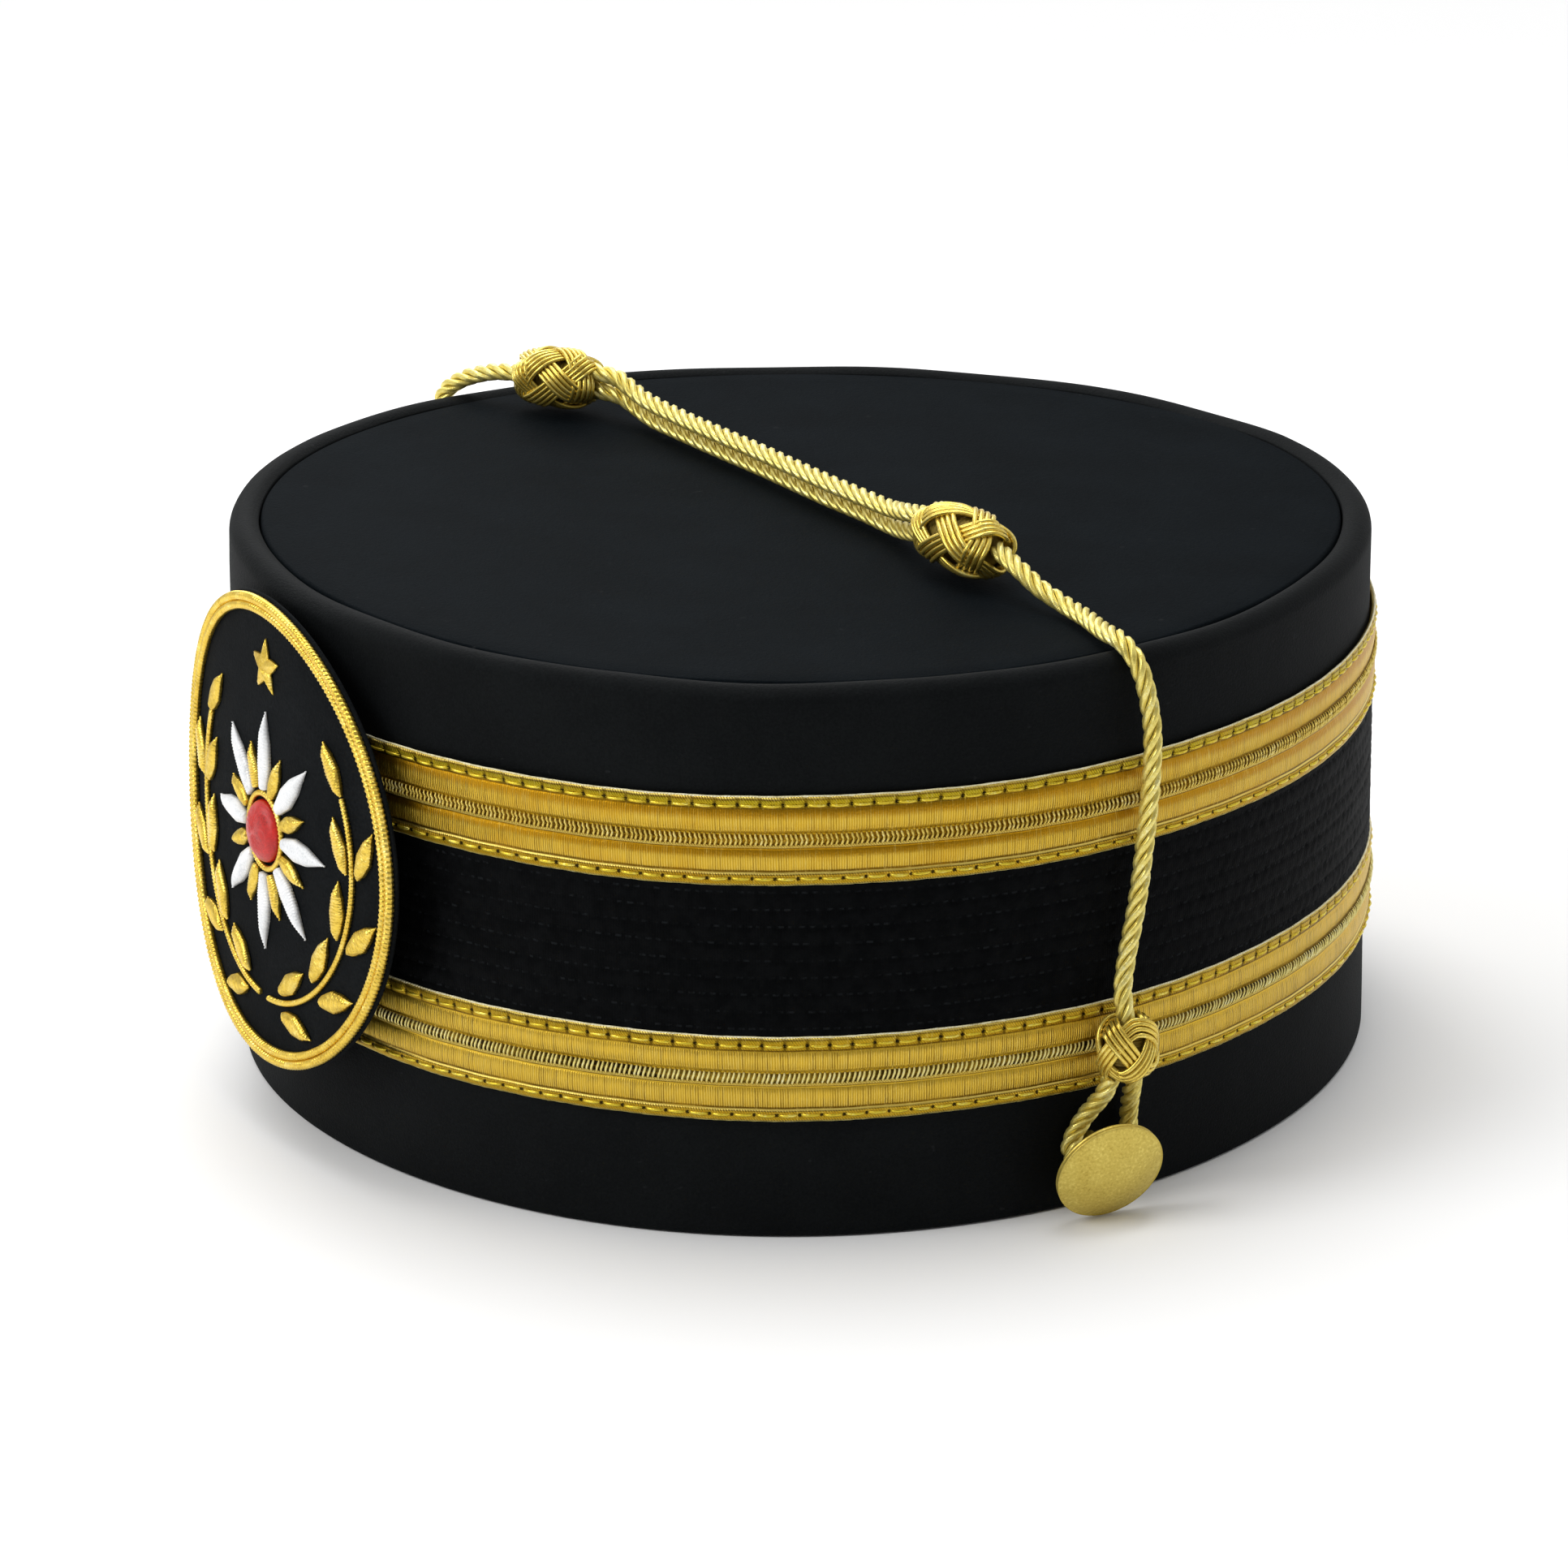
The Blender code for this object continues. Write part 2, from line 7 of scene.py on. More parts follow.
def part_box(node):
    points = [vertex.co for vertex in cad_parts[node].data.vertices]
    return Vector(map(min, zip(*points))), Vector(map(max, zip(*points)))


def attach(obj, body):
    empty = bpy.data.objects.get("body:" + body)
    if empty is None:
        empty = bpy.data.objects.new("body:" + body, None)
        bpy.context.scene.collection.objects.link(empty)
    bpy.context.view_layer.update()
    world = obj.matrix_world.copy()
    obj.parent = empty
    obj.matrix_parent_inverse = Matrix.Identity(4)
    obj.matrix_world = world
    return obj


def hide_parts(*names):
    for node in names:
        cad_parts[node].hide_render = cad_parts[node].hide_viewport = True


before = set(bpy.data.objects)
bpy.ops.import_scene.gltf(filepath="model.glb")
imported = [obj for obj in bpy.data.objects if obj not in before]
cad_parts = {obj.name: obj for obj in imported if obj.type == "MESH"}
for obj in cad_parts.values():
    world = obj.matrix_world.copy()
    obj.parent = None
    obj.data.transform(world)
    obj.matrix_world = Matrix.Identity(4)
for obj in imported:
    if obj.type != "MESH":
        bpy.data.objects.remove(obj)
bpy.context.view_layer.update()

mm = 0.001
low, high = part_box("crown_side")
capMiddle = np.array([0.0, (low[1] + high[1]) / 2 / mm, 0.0])   # the cap's own axis, in mm

# the cap's own sizes, in mm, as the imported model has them
cap = dict(halfWidth=93.8, halfDepth=96.0, frontFullness=0.073, height=90.0, frontRise=1.3,
           wall=2.5, rimEdge=0.4, cornerRadius=2.8, crest=0.7, seamInset=4.9, seamDepth=0.2,
           turnedEdge=2.2, topThickness=2.5, gap=0.3)


# arrays to meshes

def unit(v):
    # the same directions, each of length 1
    return v / np.maximum(np.linalg.norm(v, axis=-1, keepdims=True), 1e-12)


def addPiece(name, points, faces, corners, materials, slotName, nodes, shares=None):
    # points in mm in the cap's own frame; faces and their corner uv are lists of arrays; shares
    # gives how many faces each material has, in order
    mesh = bpy.data.meshes.new(name)
    place = (points.reshape(-1, 3) + capMiddle) * mm
    index = np.concatenate([f.ravel() for f in faces])
    sizes = np.concatenate([np.full(len(f), f.shape[1]) for f in faces])
    mesh.vertices.add(len(place))
    mesh.vertices.foreach_set("co", place.ravel())
    mesh.loops.add(len(index))
    mesh.loops.foreach_set("vertex_index", index.astype(np.int32))
    mesh.polygons.add(len(sizes))
    starts = np.concatenate([[0], np.cumsum(sizes)[:-1]])
    mesh.polygons.foreach_set("loop_start", starts.astype(np.int32))
    uvMap = mesh.uv_layers.new(name="UVMap")
    uvMap.data.foreach_set("uv", np.concatenate([c.ravel() for c in corners]).astype(np.float32))
    mesh.update(calc_edges=True)
    mesh.validate()
    mesh.shade_smooth()
    for material in (materials if isinstance(materials, list) else [materials]):
        mesh.materials.append(material)
    if shares:
        mesh.polygons.foreach_set("material_index",
                                  np.repeat(np.arange(len(shares)), shares).astype(np.int32))
    piece = bpy.data.objects.new(name, mesh)
    bpy.context.collection.objects.link(piece)
    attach(piece, "root")
    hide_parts(*nodes)
    return piece


def gridFaces(rows, columns, closedRows, closedColumns, u, v, first=0):
    # quads over a grid of points, with uv given at the rows and columns (one more where closed)
    i = np.arange(rows if closedRows else rows - 1)[:, None]
    j = np.arange(columns if closedColumns else columns - 1)[None, :]
    iNext, jNext = (i + 1) % rows, (j + 1) % columns
    quads = np.stack([i * columns + j, iNext * columns + j,
                      iNext * columns + jNext, i * columns + jNext], -1).reshape(-1, 4) + first
    uGrid, vGrid = np.meshgrid(u, v, indexing="ij")
    both = np.stack([uGrid, vGrid], -1)
    corner = np.stack([both[:-1, :-1], both[1:, :-1], both[1:, 1:], both[:-1, 1:]], 2)
    return quads, corner.reshape(-1, 4, 2)


def fanFaces(ring, pole, flip):
    # triangles from a closed ring of point numbers to one pole
    nextOne = np.roll(ring, -1)
    order = [nextOne, ring] if flip else [ring, nextOne]
    tri = np.stack(order + [np.full(len(ring), pole)], -1)
    return tri, np.zeros((len(ring), 3, 2))


def closedGrid(points, poles, around, along, flip=False):
    # a grid of points closed round its rows, with a pole beyond its first and last ring;
    # returns points, faces and uv, with the faces turned over where flip is set
    count, rows = points.shape[:2]
    quads, corners = gridFaces(count, rows, True, False, np.linspace(0, around, count + 1),
                               np.linspace(0, along, rows))
    base = np.arange(count) * rows
    first, firstUv = fanFaces(base, count * rows, True)
    last, lastUv = fanFaces(base + rows - 1, count * rows + 1, False)
    faces, corners = [quads, first, last], [corners, firstUv, lastUv]
    if flip:
        faces, corners = [f[:, ::-1] for f in faces], [c[:, ::-1] for c in corners]
    return np.concatenate([points.reshape(-1, 3), np.array(poles)]), faces, corners


def tubes(paths, facing, across, along, closed=False, sides=8, spin=None, ripple=None):
    # tubes along several paths: a ring of points round each path point, across wide on the
    # facing side and along wide beside it; returns points, faces and uv
    count, n = paths.shape[:2]
    if closed:
        tangent = unit(np.roll(paths, -1, 1) - np.roll(paths, 1, 1))
    else:
        tangent = unit(np.gradient(paths, axis=1))
    normal = unit(facing - (facing * tangent).sum(-1, keepdims=True) * tangent)
    beside = np.cross(tangent, normal)
    angle = np.linspace(0, 2 * np.pi, sides, endpoint=False)
    turn = angle[None, None, :] + (0 if spin is None else spin[..., None])
    size = np.ones(turn.shape) if ripple is None else ripple(turn)
    out = np.asarray(across)[..., None] * np.cos(angle) * size
    side = np.asarray(along)[..., None] * np.sin(angle) * size
    rings = (paths[:, :, None] + normal[:, :, None] * out[..., None]
             + beside[:, :, None] * side[..., None])
    length = np.concatenate([np.zeros((count, 1)), np.cumsum(np.linalg.norm(
        np.diff(paths, axis=1), axis=-1), 1)], 1)
    if closed:
        last = np.linalg.norm(paths[:, 0] - paths[:, -1], axis=-1)
        length = np.concatenate([length, length[:, -1:] + last[:, None]], 1)
    faces, corners, points = [], [], [rings.reshape(-1, 3)]
    v = np.linspace(0, 2.0, sides + 1)
    poles = count * n * sides
    for k in range(count):
        quads, corner = gridFaces(n, sides, closed, True, length[k], v, k * n * sides)
        faces.append(quads[:, ::-1])
        corners.append(corner[:, ::-1])
        if not closed:
            firstRing = k * n * sides + np.arange(sides)
            for ring, end, flip in ((firstRing, 0, False), (firstRing + (n - 1) * sides, -1, True)):
                tri, corner = fanFaces(ring, poles, flip)
                poles += 1
                points.append(paths[k, end][None])
                faces.append(tri[:, ::-1])
                corners.append(corner)
    return np.concatenate(points), faces, corners


def faceCount(part):
    # how many faces a set of points, faces and uv has
    return sum(len(f) for f in part[1])


def joined(parts):
    # several sets of points, faces and uv as one
    points, faces, corners, first = [], [], [], 0
    for somePoints, someFaces, someCorners in parts:
        points.append(somePoints.reshape(-1, 3))
        faces += [f + first for f in someFaces]
        corners += someCorners
        first += len(points[-1])
    return np.concatenate(points), faces, corners


# shapes of the cap

def oval(turn, inset, height, slope=0.0):
    # the outline: a circle's turn stretched to the half width and half depth, fuller in front,
    # and raised with the front where it slopes
    x = (cap["halfWidth"] - inset) * np.sin(turn) * (1 + cap["frontFullness"] * np.cos(turn))
    y = -(cap["halfDepth"] - inset) * np.cos(turn)
    z = height - slope * cap["frontRise"] * y / cap["halfDepth"] + 0 * x
    return np.stack(np.broadcast_arrays(x, y, z), -1)


fineTurn = np.linspace(0, 2 * np.pi, 14401)
fineLine = oval(fineTurn, 0.0, 0.0)
fineLength = np.concatenate([[0], np.cumsum(np.linalg.norm(np.diff(fineLine, axis=0), axis=-1))])
girth = fineLength[-1]


def turnAt(length):
    # the turn at a length round the wall, from the middle of the front
    return np.interp(length % girth, fineLength, fineTurn)


def wave(turn, height, rows):
    # a soft unevenness: a sum of waves round the cap, given as size, number round, phase, rise
    total = 0
    for size, number, phase, rise in rows:
        total = total + size * np.sin(number * turn + phase + rise * height)
    return total


def smoothLine(points, spacing):
    # a Catmull-Rom curve through the points, read at even steps of its length
    p = np.array(points, float) / mm
    ends = np.vstack([2 * p[0] - p[1], p, 2 * p[-1] - p[-2]])
    t = np.linspace(0, 1, 40, endpoint=False)[:, None]
    a, b, c, d = (ends[k:len(ends) - 3 + k][:, None] for k in range(4))
    line = 0.5 * (2 * b + (c - a) * t + (2 * a - 5 * b + 4 * c - d) * t ** 2
                  + (3 * b - a - 3 * c + d) * t ** 3)
    line = np.vstack([line.reshape(-1, 3), p[-1]])
    length = np.concatenate([[0], np.cumsum(np.linalg.norm(np.diff(line, axis=0), axis=-1))])
    steps = np.linspace(0, length[-1], int(length[-1] / spacing) + 2)
    return np.stack([np.interp(steps, length, line[:, k]) for k in range(3)], -1), steps


# materials

def newMaterial(name):
    # a node material with its nodes, links and shader
    material = bpy.data.materials.new(name)
    material.use_nodes = True
    nodes = material.node_tree.nodes
    return material, nodes, material.node_tree.links, nodes["Principled BSDF"]


def ramp(nodes, links, source, stops, smooth=True):
    # colours or grey values by the source, given as pairs of place and value
    node = nodes.new("ShaderNodeValToRGB")
    node.color_ramp.interpolation = "EASE" if smooth else "LINEAR"
    while len(node.color_ramp.elements) < len(stops):
        node.color_ramp.elements.new(0.5)
    for element, (place, colour) in zip(node.color_ramp.elements, stops):
        element.position = place
        element.color = (*colour, 1.0) if hasattr(colour, "__len__") else (colour,) * 3 + (1.0,)
    links.new(source, node.inputs["Fac"])
    return node.outputs["Color"]


def maths(nodes, links, operation, a, b=None, c=None):
    # one sum of sockets or numbers
    node = nodes.new("ShaderNodeMath")
    node.operation = operation
    for k, value in enumerate((a, b, c)):
        if value is None:
            continue
        if hasattr(value, "node"):
            links.new(value, node.inputs[k])
        else:
            node.inputs[k].default_value = value
    return node.outputs[0]


def weighted(nodes, links, first, firstShare, second, secondShare):
    # a share of one pattern and a share of another
    return maths(nodes, links, "ADD", maths(nodes, links, "MULTIPLY", first, firstShare),
                 maths(nodes, links, "MULTIPLY", second, secondShare))


def noise(nodes, links, vector, scale, detail=3.0, roughness=0.5):
    # soft noise, 0..1
    node = nodes.new("ShaderNodeTexNoise")
    for socket, value in (("Scale", scale), ("Detail", detail), ("Roughness", roughness)):
        node.inputs[socket].default_value = value
    links.new(vector, node.inputs["Vector"])
    return node.outputs["Fac"]


def addBump(nodes, links, height, distance, strength):
    # a normal bent by the height, in metres
    node = nodes.new("ShaderNodeBump")
    node.inputs["Distance"].default_value = distance
    node.inputs["Strength"].default_value = strength
    links.new(height, node.inputs["Height"])
    return node.outputs["Normal"]


def stretched(nodes, links, source, scale):
    # places drawn out by the scale
    node = nodes.new("ShaderNodeMapping")
    node.inputs["Scale"].default_value = scale
    links.new(source, node.inputs["Vector"])
    return node.outputs["Vector"]


def mixColour(nodes, links, factor, first, second):
    # from the first colour to the second by the factor
    node = nodes.new("ShaderNodeMix")
    node.data_type = "RGBA"
    for socket, value in ((node.inputs[0], factor), (node.inputs[6], first),
                          (node.inputs[7], second)):
        if hasattr(value, "node"):
            links.new(value, socket)
        else:
            socket.default_value = (*value, 1.0) if hasattr(value, "__len__") else value
    return node.outputs[2]


def uvPlace(nodes, links):
    # the two parts of the piece's own uv
    split = nodes.new("ShaderNodeSeparateXYZ")
    links.new(nodes.new("ShaderNodeTexCoord").outputs["UV"], split.inputs[0])
    return split.outputs["X"], split.outputs["Y"]


# black wool cloth: a fine grain, faint mottling and a short nap that catches the light
clothLook = dict(dark=(0.0034, 0.0038, 0.0041), light=(0.0062, 0.0070, 0.0074), roughness=0.72,
                 grain=2400, mottle=55, nap=0.008, gloss=0.056, lint=(0.017, 0.018, 0.019),
                 shine=(0.84, 0.92, 0.95, 1.0))


def clothMaterial(name, look):
    # grain, mottling and fibres for colour and bump, with a few pale specks of lint
    material, nodes, links, shader = newMaterial(name)
    place = nodes.new("ShaderNodeTexCoord").outputs["Object"]
    grain = noise(nodes, links, place, look["grain"], 2.0, 0.6)
    mottle = noise(nodes, links, place, look["mottle"], 4.0, 0.6)
    fibre = noise(nodes, links, stretched(nodes, links, place, (1.0, 1.0, 3.2)), 900, 3.0, 0.7)
    tone = weighted(nodes, links, grain, 0.55, mottle, 0.45)
    colour = ramp(nodes, links, tone, [(0.35, look["dark"]), (0.68, look["light"])])
    speck = ramp(nodes, links, noise(nodes, links, stretched(nodes, links, place, (1.0, 0.7, 1.4)),
                                     640, 1.0, 0.4), [(0.765, 0.0), (0.82, 0.5)])
    links.new(mixColour(nodes, links, speck, colour, look["lint"]), shader.inputs["Base Color"])
    shader.inputs["Roughness"].default_value = look["roughness"]
    shader.inputs["Specular IOR Level"].default_value = look["gloss"]
    shader.inputs["Sheen Weight"].default_value = look["nap"]
    shader.inputs["Sheen Roughness"].default_value = 0.32
    shader.inputs["Sheen Tint"].default_value = look["shine"]
    shader.inputs["Specular Tint"].default_value = look["shine"]
    height = weighted(nodes, links, grain, 1.0, fibre, 0.8)
    links.new(addBump(nodes, links, height, 0.00012, 0.9), shader.inputs["Normal"])
    return material


wool = clothMaterial("black wool", clothLook)
# painted shade: the top's copy of the wool is coloured darker and bluer than the side's to hold down the
# stronger light on the top, and has less gloss and nap
shadedTopWool = clothMaterial("top wool with painted shade", dict(clothLook, nap=0.0025, gloss=0.018,
                                             shine=(0.70, 0.88, 0.96, 1.0),
                                             dark=(0.0018, 0.0028, 0.0037),
                                             light=(0.0034, 0.0051, 0.0067)))
felt = clothMaterial("badge felt", dict(clothLook, dark=(0.0040, 0.0046, 0.0052),
                                        light=(0.0085, 0.0095, 0.0104), roughness=0.9,
                                        grain=1900, gloss=0.05, nap=0.007))
lining = clothMaterial("inner cloth", dict(clothLook, dark=(0.0055, 0.0055, 0.0058),
                                           light=(0.0105, 0.0105, 0.0112), roughness=0.6,
                                           grain=1500))


def threadMaterial(name, dark, middle, pale, metallic, roughness, pitch, depth, turnShare=0.35):
    # metal thread wound along a strand: fine slanted turns and small flecks
    material, nodes, links, shader = newMaterial(name)
    along, around = uvPlace(nodes, links)
    place = nodes.new("ShaderNodeTexCoord").outputs["Object"]
    phase = weighted(nodes, links, along, 1 / pitch, around, 1.0)
    turns = maths(nodes, links, "SINE", maths(nodes, links, "MULTIPLY", phase, 2 * math.pi))
    fleck = noise(nodes, links, place, 2600, 2.0, 0.7)
    patch = noise(nodes, links, place, 260, 3.0, 0.6)
    tone = weighted(nodes, links, fleck, 0.5, patch, 0.5)
    links.new(ramp(nodes, links, tone, [(0.30, dark), (0.50, middle), (0.68, pale)]),
              shader.inputs["Base Color"])
    shader.inputs["Metallic"].default_value = metallic
    shader.inputs["Roughness"].default_value = roughness
    height = weighted(nodes, links, turns, turnShare, fleck, 1.0)
    links.new(addBump(nodes, links, height, depth, 0.8), shader.inputs["Normal"])
    return material


cordGold = threadMaterial("cord gold", (0.62, 0.48, 0.080), (0.84, 0.70, 0.18),
                          (0.96, 0.89, 0.42), 0.58, 0.30, 0.30, 0.000020, 0.35)
knotGold = threadMaterial("knot gold", (0.50, 0.335, 0.040), (0.79, 0.59, 0.105),
                          (0.94, 0.82, 0.28), 0.74, 0.25, 0.28, 0.000008, 0.25)
# painted shade: the cord's core is near black, standing for the shade deep between the strands
shadedCordCore = threadMaterial("cord core, painted shade", (0.020, 0.012, 0.002), (0.045, 0.028, 0.005),
                          (0.08, 0.055, 0.012), 0.3, 0.6, 0.30, 0.00005)
# painted shade: the knot's core is a dark gold, standing for the shade inside the knot's gaps
shadedKnotCore = threadMaterial("knot core, painted shade", (0.11, 0.072, 0.009), (0.22, 0.15, 0.018),
                          (0.34, 0.25, 0.04), 0.5, 0.5, 0.60, 0.00010, 1.0)
wireGold = threadMaterial("wire gold", (0.55, 0.34, 0.03), (0.80, 0.56, 0.08),
                          (0.96, 0.76, 0.22), 0.85, 0.28, 0.40, 0.00004)
silverThread = threadMaterial("silver thread", (0.66, 0.68, 0.70), (0.86, 0.87, 0.88),
                              (0.95, 0.95, 0.96), 0.10, 0.34, 0.25, 0.00003)
redSilk = threadMaterial("red silk", (0.22, 0.003, 0.003), (0.50, 0.009, 0.006),
                         (0.68, 0.020, 0.014), 0.0, 0.30, 0.25, 0.00003)

# camera, at the photograph's viewing angle

view = dict(position=(971.17, -543.62, 430.62), right=(0.4869, 0.8734, -0.0069),
            up=(-0.2848, 0.1662, 0.9441), back=(0.8257, -0.4577, 0.3297), focal=8581.7,
            picture=1932, sensor=36.0)
camera = bpy.data.objects.new("camera", bpy.data.cameras.new("camera"))
bpy.context.collection.objects.link(camera)
camera.data.sensor_width = view["sensor"]
camera.data.lens = view["focal"] / view["picture"] * view["sensor"]
camera.data.clip_start, camera.data.clip_end = 0.05, 20
pose = Matrix((view["right"], view["up"], view["back"])).transposed().to_4x4()
pose.translation = (np.array(view["position"]) + capMiddle) * mm
camera.matrix_world = pose
bpy.context.scene.camera = camera

# cords: four strands of five yarns each, twisted round a core painted near black as the shade between the
# strands

cord = dict(diameter=3.1, strands=4, strandCircle=0.97, strandRadius=0.57, groove=0.11,
            yarns=5, core=0.62, lay=11.3, loopLay=9.2, step=0.42, intoKnot=2.6,
            loopEnd=1.6)
leftRoute = [
    (0.0988, 0.0012, 0.0340), (0.0979, 0.0014, 0.0370), (0.0971, 0.0026, 0.0420),
    (0.0970, 0.0046, 0.0516), (0.0970, 0.0060, 0.0625), (0.0970, 0.0069, 0.0720),
    (0.0967, 0.0071, 0.0790), (0.0962, 0.0065, 0.0842), (0.0954, 0.0056, 0.0886),
    (0.0935, 0.0048, 0.0913), (0.0903, 0.0045, 0.0925), (0.0850, 0.0052, 0.0921),
    (0.0774, 0.0067, 0.0919), (0.0705, 0.0071, 0.0920), (0.0644, 0.0060, 0.0934),
    (0.0595, 0.0055, 0.0950), (0.0544, 0.0055, 0.0961)]
upperRoute = [
    (0.0322, 0.0023, 0.0979), (0.0275, 0.0026, 0.0969), (0.0204, 0.0037, 0.0955),
    (0.0101, 0.0035, 0.0951), (0.0005, 0.0027, 0.0951), (-0.0096, 0.0022, 0.0951),
    (-0.0203, 0.0017, 0.0951), (-0.0352, 0.0006, 0.0951), (-0.0458, 0.0000, 0.0951),
    (-0.0560, -0.0006, 0.0954), (-0.0622, -0.0010, 0.0965), (-0.0655, -0.0016, 0.0974),
    (-0.0682, -0.0030, 0.0977)]
lowerRoute = [
    (0.0321, 0.0033, 0.0944), (0.0275, 0.0039, 0.0932), (0.0204, 0.0048, 0.0920),
    (0.0101, 0.0046, 0.0919), (0.0005, 0.0037, 0.0919), (-0.0096, 0.0032, 0.0919),
    (-0.0203, 0.0027, 0.0919), (-0.0352, 0.0016, 0.0919), (-0.0458, 0.0010, 0.0919),
    (-0.0560, 0.0004, 0.0920), (-0.0622, 0.0000, 0.0930), (-0.0655, -0.0008, 0.0939),
    (-0.0684, -0.0025, 0.0943)]
rightRoute = [
    (-0.0823, -0.0136, 0.0960), (-0.0850, -0.0150, 0.0957), (-0.0874, -0.0163, 0.0951),
    (-0.0900, -0.0176, 0.0941), (-0.0922, -0.0190, 0.0929), (-0.0943, -0.0204, 0.0910),
    (-0.0955, -0.0210, 0.0882), (-0.0961, -0.0207, 0.0820), (-0.0972, -0.0185, 0.0740),
    (-0.0974, -0.0146, 0.0660), (-0.0975, -0.0100, 0.0560), (-0.0975, -0.0050, 0.0460),
    (-0.0976, -0.0012, 0.0400), (-0.0980, 0.0007, 0.0370), (-0.0988, 0.0012, 0.0340)]
loopRoute = [
    (0.0985, -0.0016, 0.0214), (0.0981, -0.0020, 0.0200), (0.0972, -0.0029, 0.0182),
    (0.0963, -0.0043, 0.0160), (0.0959, -0.0059, 0.0134), (0.0958, -0.0069, 0.0108),
    (0.0958, -0.0055, 0.0078), (0.0958, -0.0015, 0.0064), (0.0958, 0.0024, 0.0080),
    (0.0958, 0.0038, 0.0113), (0.0960, 0.0039, 0.0150), (0.0970, 0.0036, 0.0180),
    (0.0980, 0.0033, 0.0200), (0.0985, 0.0031, 0.0214)]


def runInto(route, start, end):
    # the route with a short straight run into what holds each end, in mm
    p = [np.array(point) for point in route]
    first = p[0] + (p[0] - p[1]) / np.linalg.norm(p[0] - p[1]) * start * mm
    last = p[-1] + (p[-1] - p[-2]) / np.linalg.norm(p[-1] - p[-2]) * end * mm
    return ([first] if start else []) + p + ([last] if end else [])


def twistedCord(name, route, start, end, across, lay, phase):
    # each strand runs on a circle round the line, turning once in each lay; its outline ripples
    # with its yarns, and the core, painted near black as the shade between the strands, fills the middle
    line, length = smoothLine(runInto(route, start, end), cord["step"])
    tangent = unit(np.gradient(line, axis=0))
    normal = unit(across - (tangent @ across)[:, None] * tangent)
    beside = np.cross(tangent, normal)
    starts = np.arange(cord["strands"]) * 2 * np.pi / cord["strands"]
    turn = starts[:, None] + phase + 2 * np.pi * length[None] / lay
    outward = (np.cos(turn)[..., None] * normal + np.sin(turn)[..., None] * beside)
    strands = line + cord["strandCircle"] * outward
    size = cord["strandRadius"] * (1 + 0.05 * np.sin(length * 2.1 + starts[:, None] * 3)
                                   * np.sin(length * 0.37))

    def yarns(angle):
        # the strand's outline: a cosine with a rise for each yarn
        return 1.0 - cord["groove"] * np.cos(cord["yarns"] * angle)

    core = np.full((1, len(line[::2])), cord["core"])
    parts = [tubes(strands, outward, size, size, sides=3 * cord["yarns"], ripple=yarns),
             tubes(line[None, ::2], normal[None, ::2], core, core, sides=6)]
    piece = addPiece(name, *joined(parts), [cordGold, shadedCordCore], "cord", [nodeOf[name]],
                     [faceCount(part) for part in parts])


nodeOf = dict(leftCord="left_cord", upperCord="upper_cord", lowerCord="lower_cord",
              rightCord="right_cord", leftLoop="left_loop", rightLoop="right_loop",
              nearKnot="near_top_knot", farKnot="far_top_knot", leftKnot="left_side_knot",
              rightKnot="right_side_knot")

# woven knots: a band of threads that laps over and under itself round a barrel

sideKnot = dict(upright=True, halfLength=5.6, radius=5.7, flatness=0.79, leads=3, bights=4,
                threads=4, pitch=0.87)
knots = [dict(name="nearKnot", centre=(43.3, 4.2, 96.2), degrees=7, halfLength=10.6, radius=5.9,
              leads=5, bights=4, threads=4, pitch=0.95, phase=0.77),
         dict(name="farKnot", centre=(-75.5, -8.0, 95.98), degrees=40, halfLength=8.1, radius=5.6,
              leads=5, bights=4, threads=5, pitch=0.80, phase=1.1),
         dict(sideKnot, name="leftKnot", centre=(99.76, 1.2, 27.8), phase=0.4),
         dict(sideKnot, name="rightKnot", centre=(-99.76, 1.2, 27.8), phase=2.2)]
weave = dict(thickness=0.47, lap=0.44, reach=55, fullness=0.62, steps=100, sides=7, lean=0.55,
             steepest=1.35, coreShare=0.80, coreLength=0.85, coreReach=1.2)


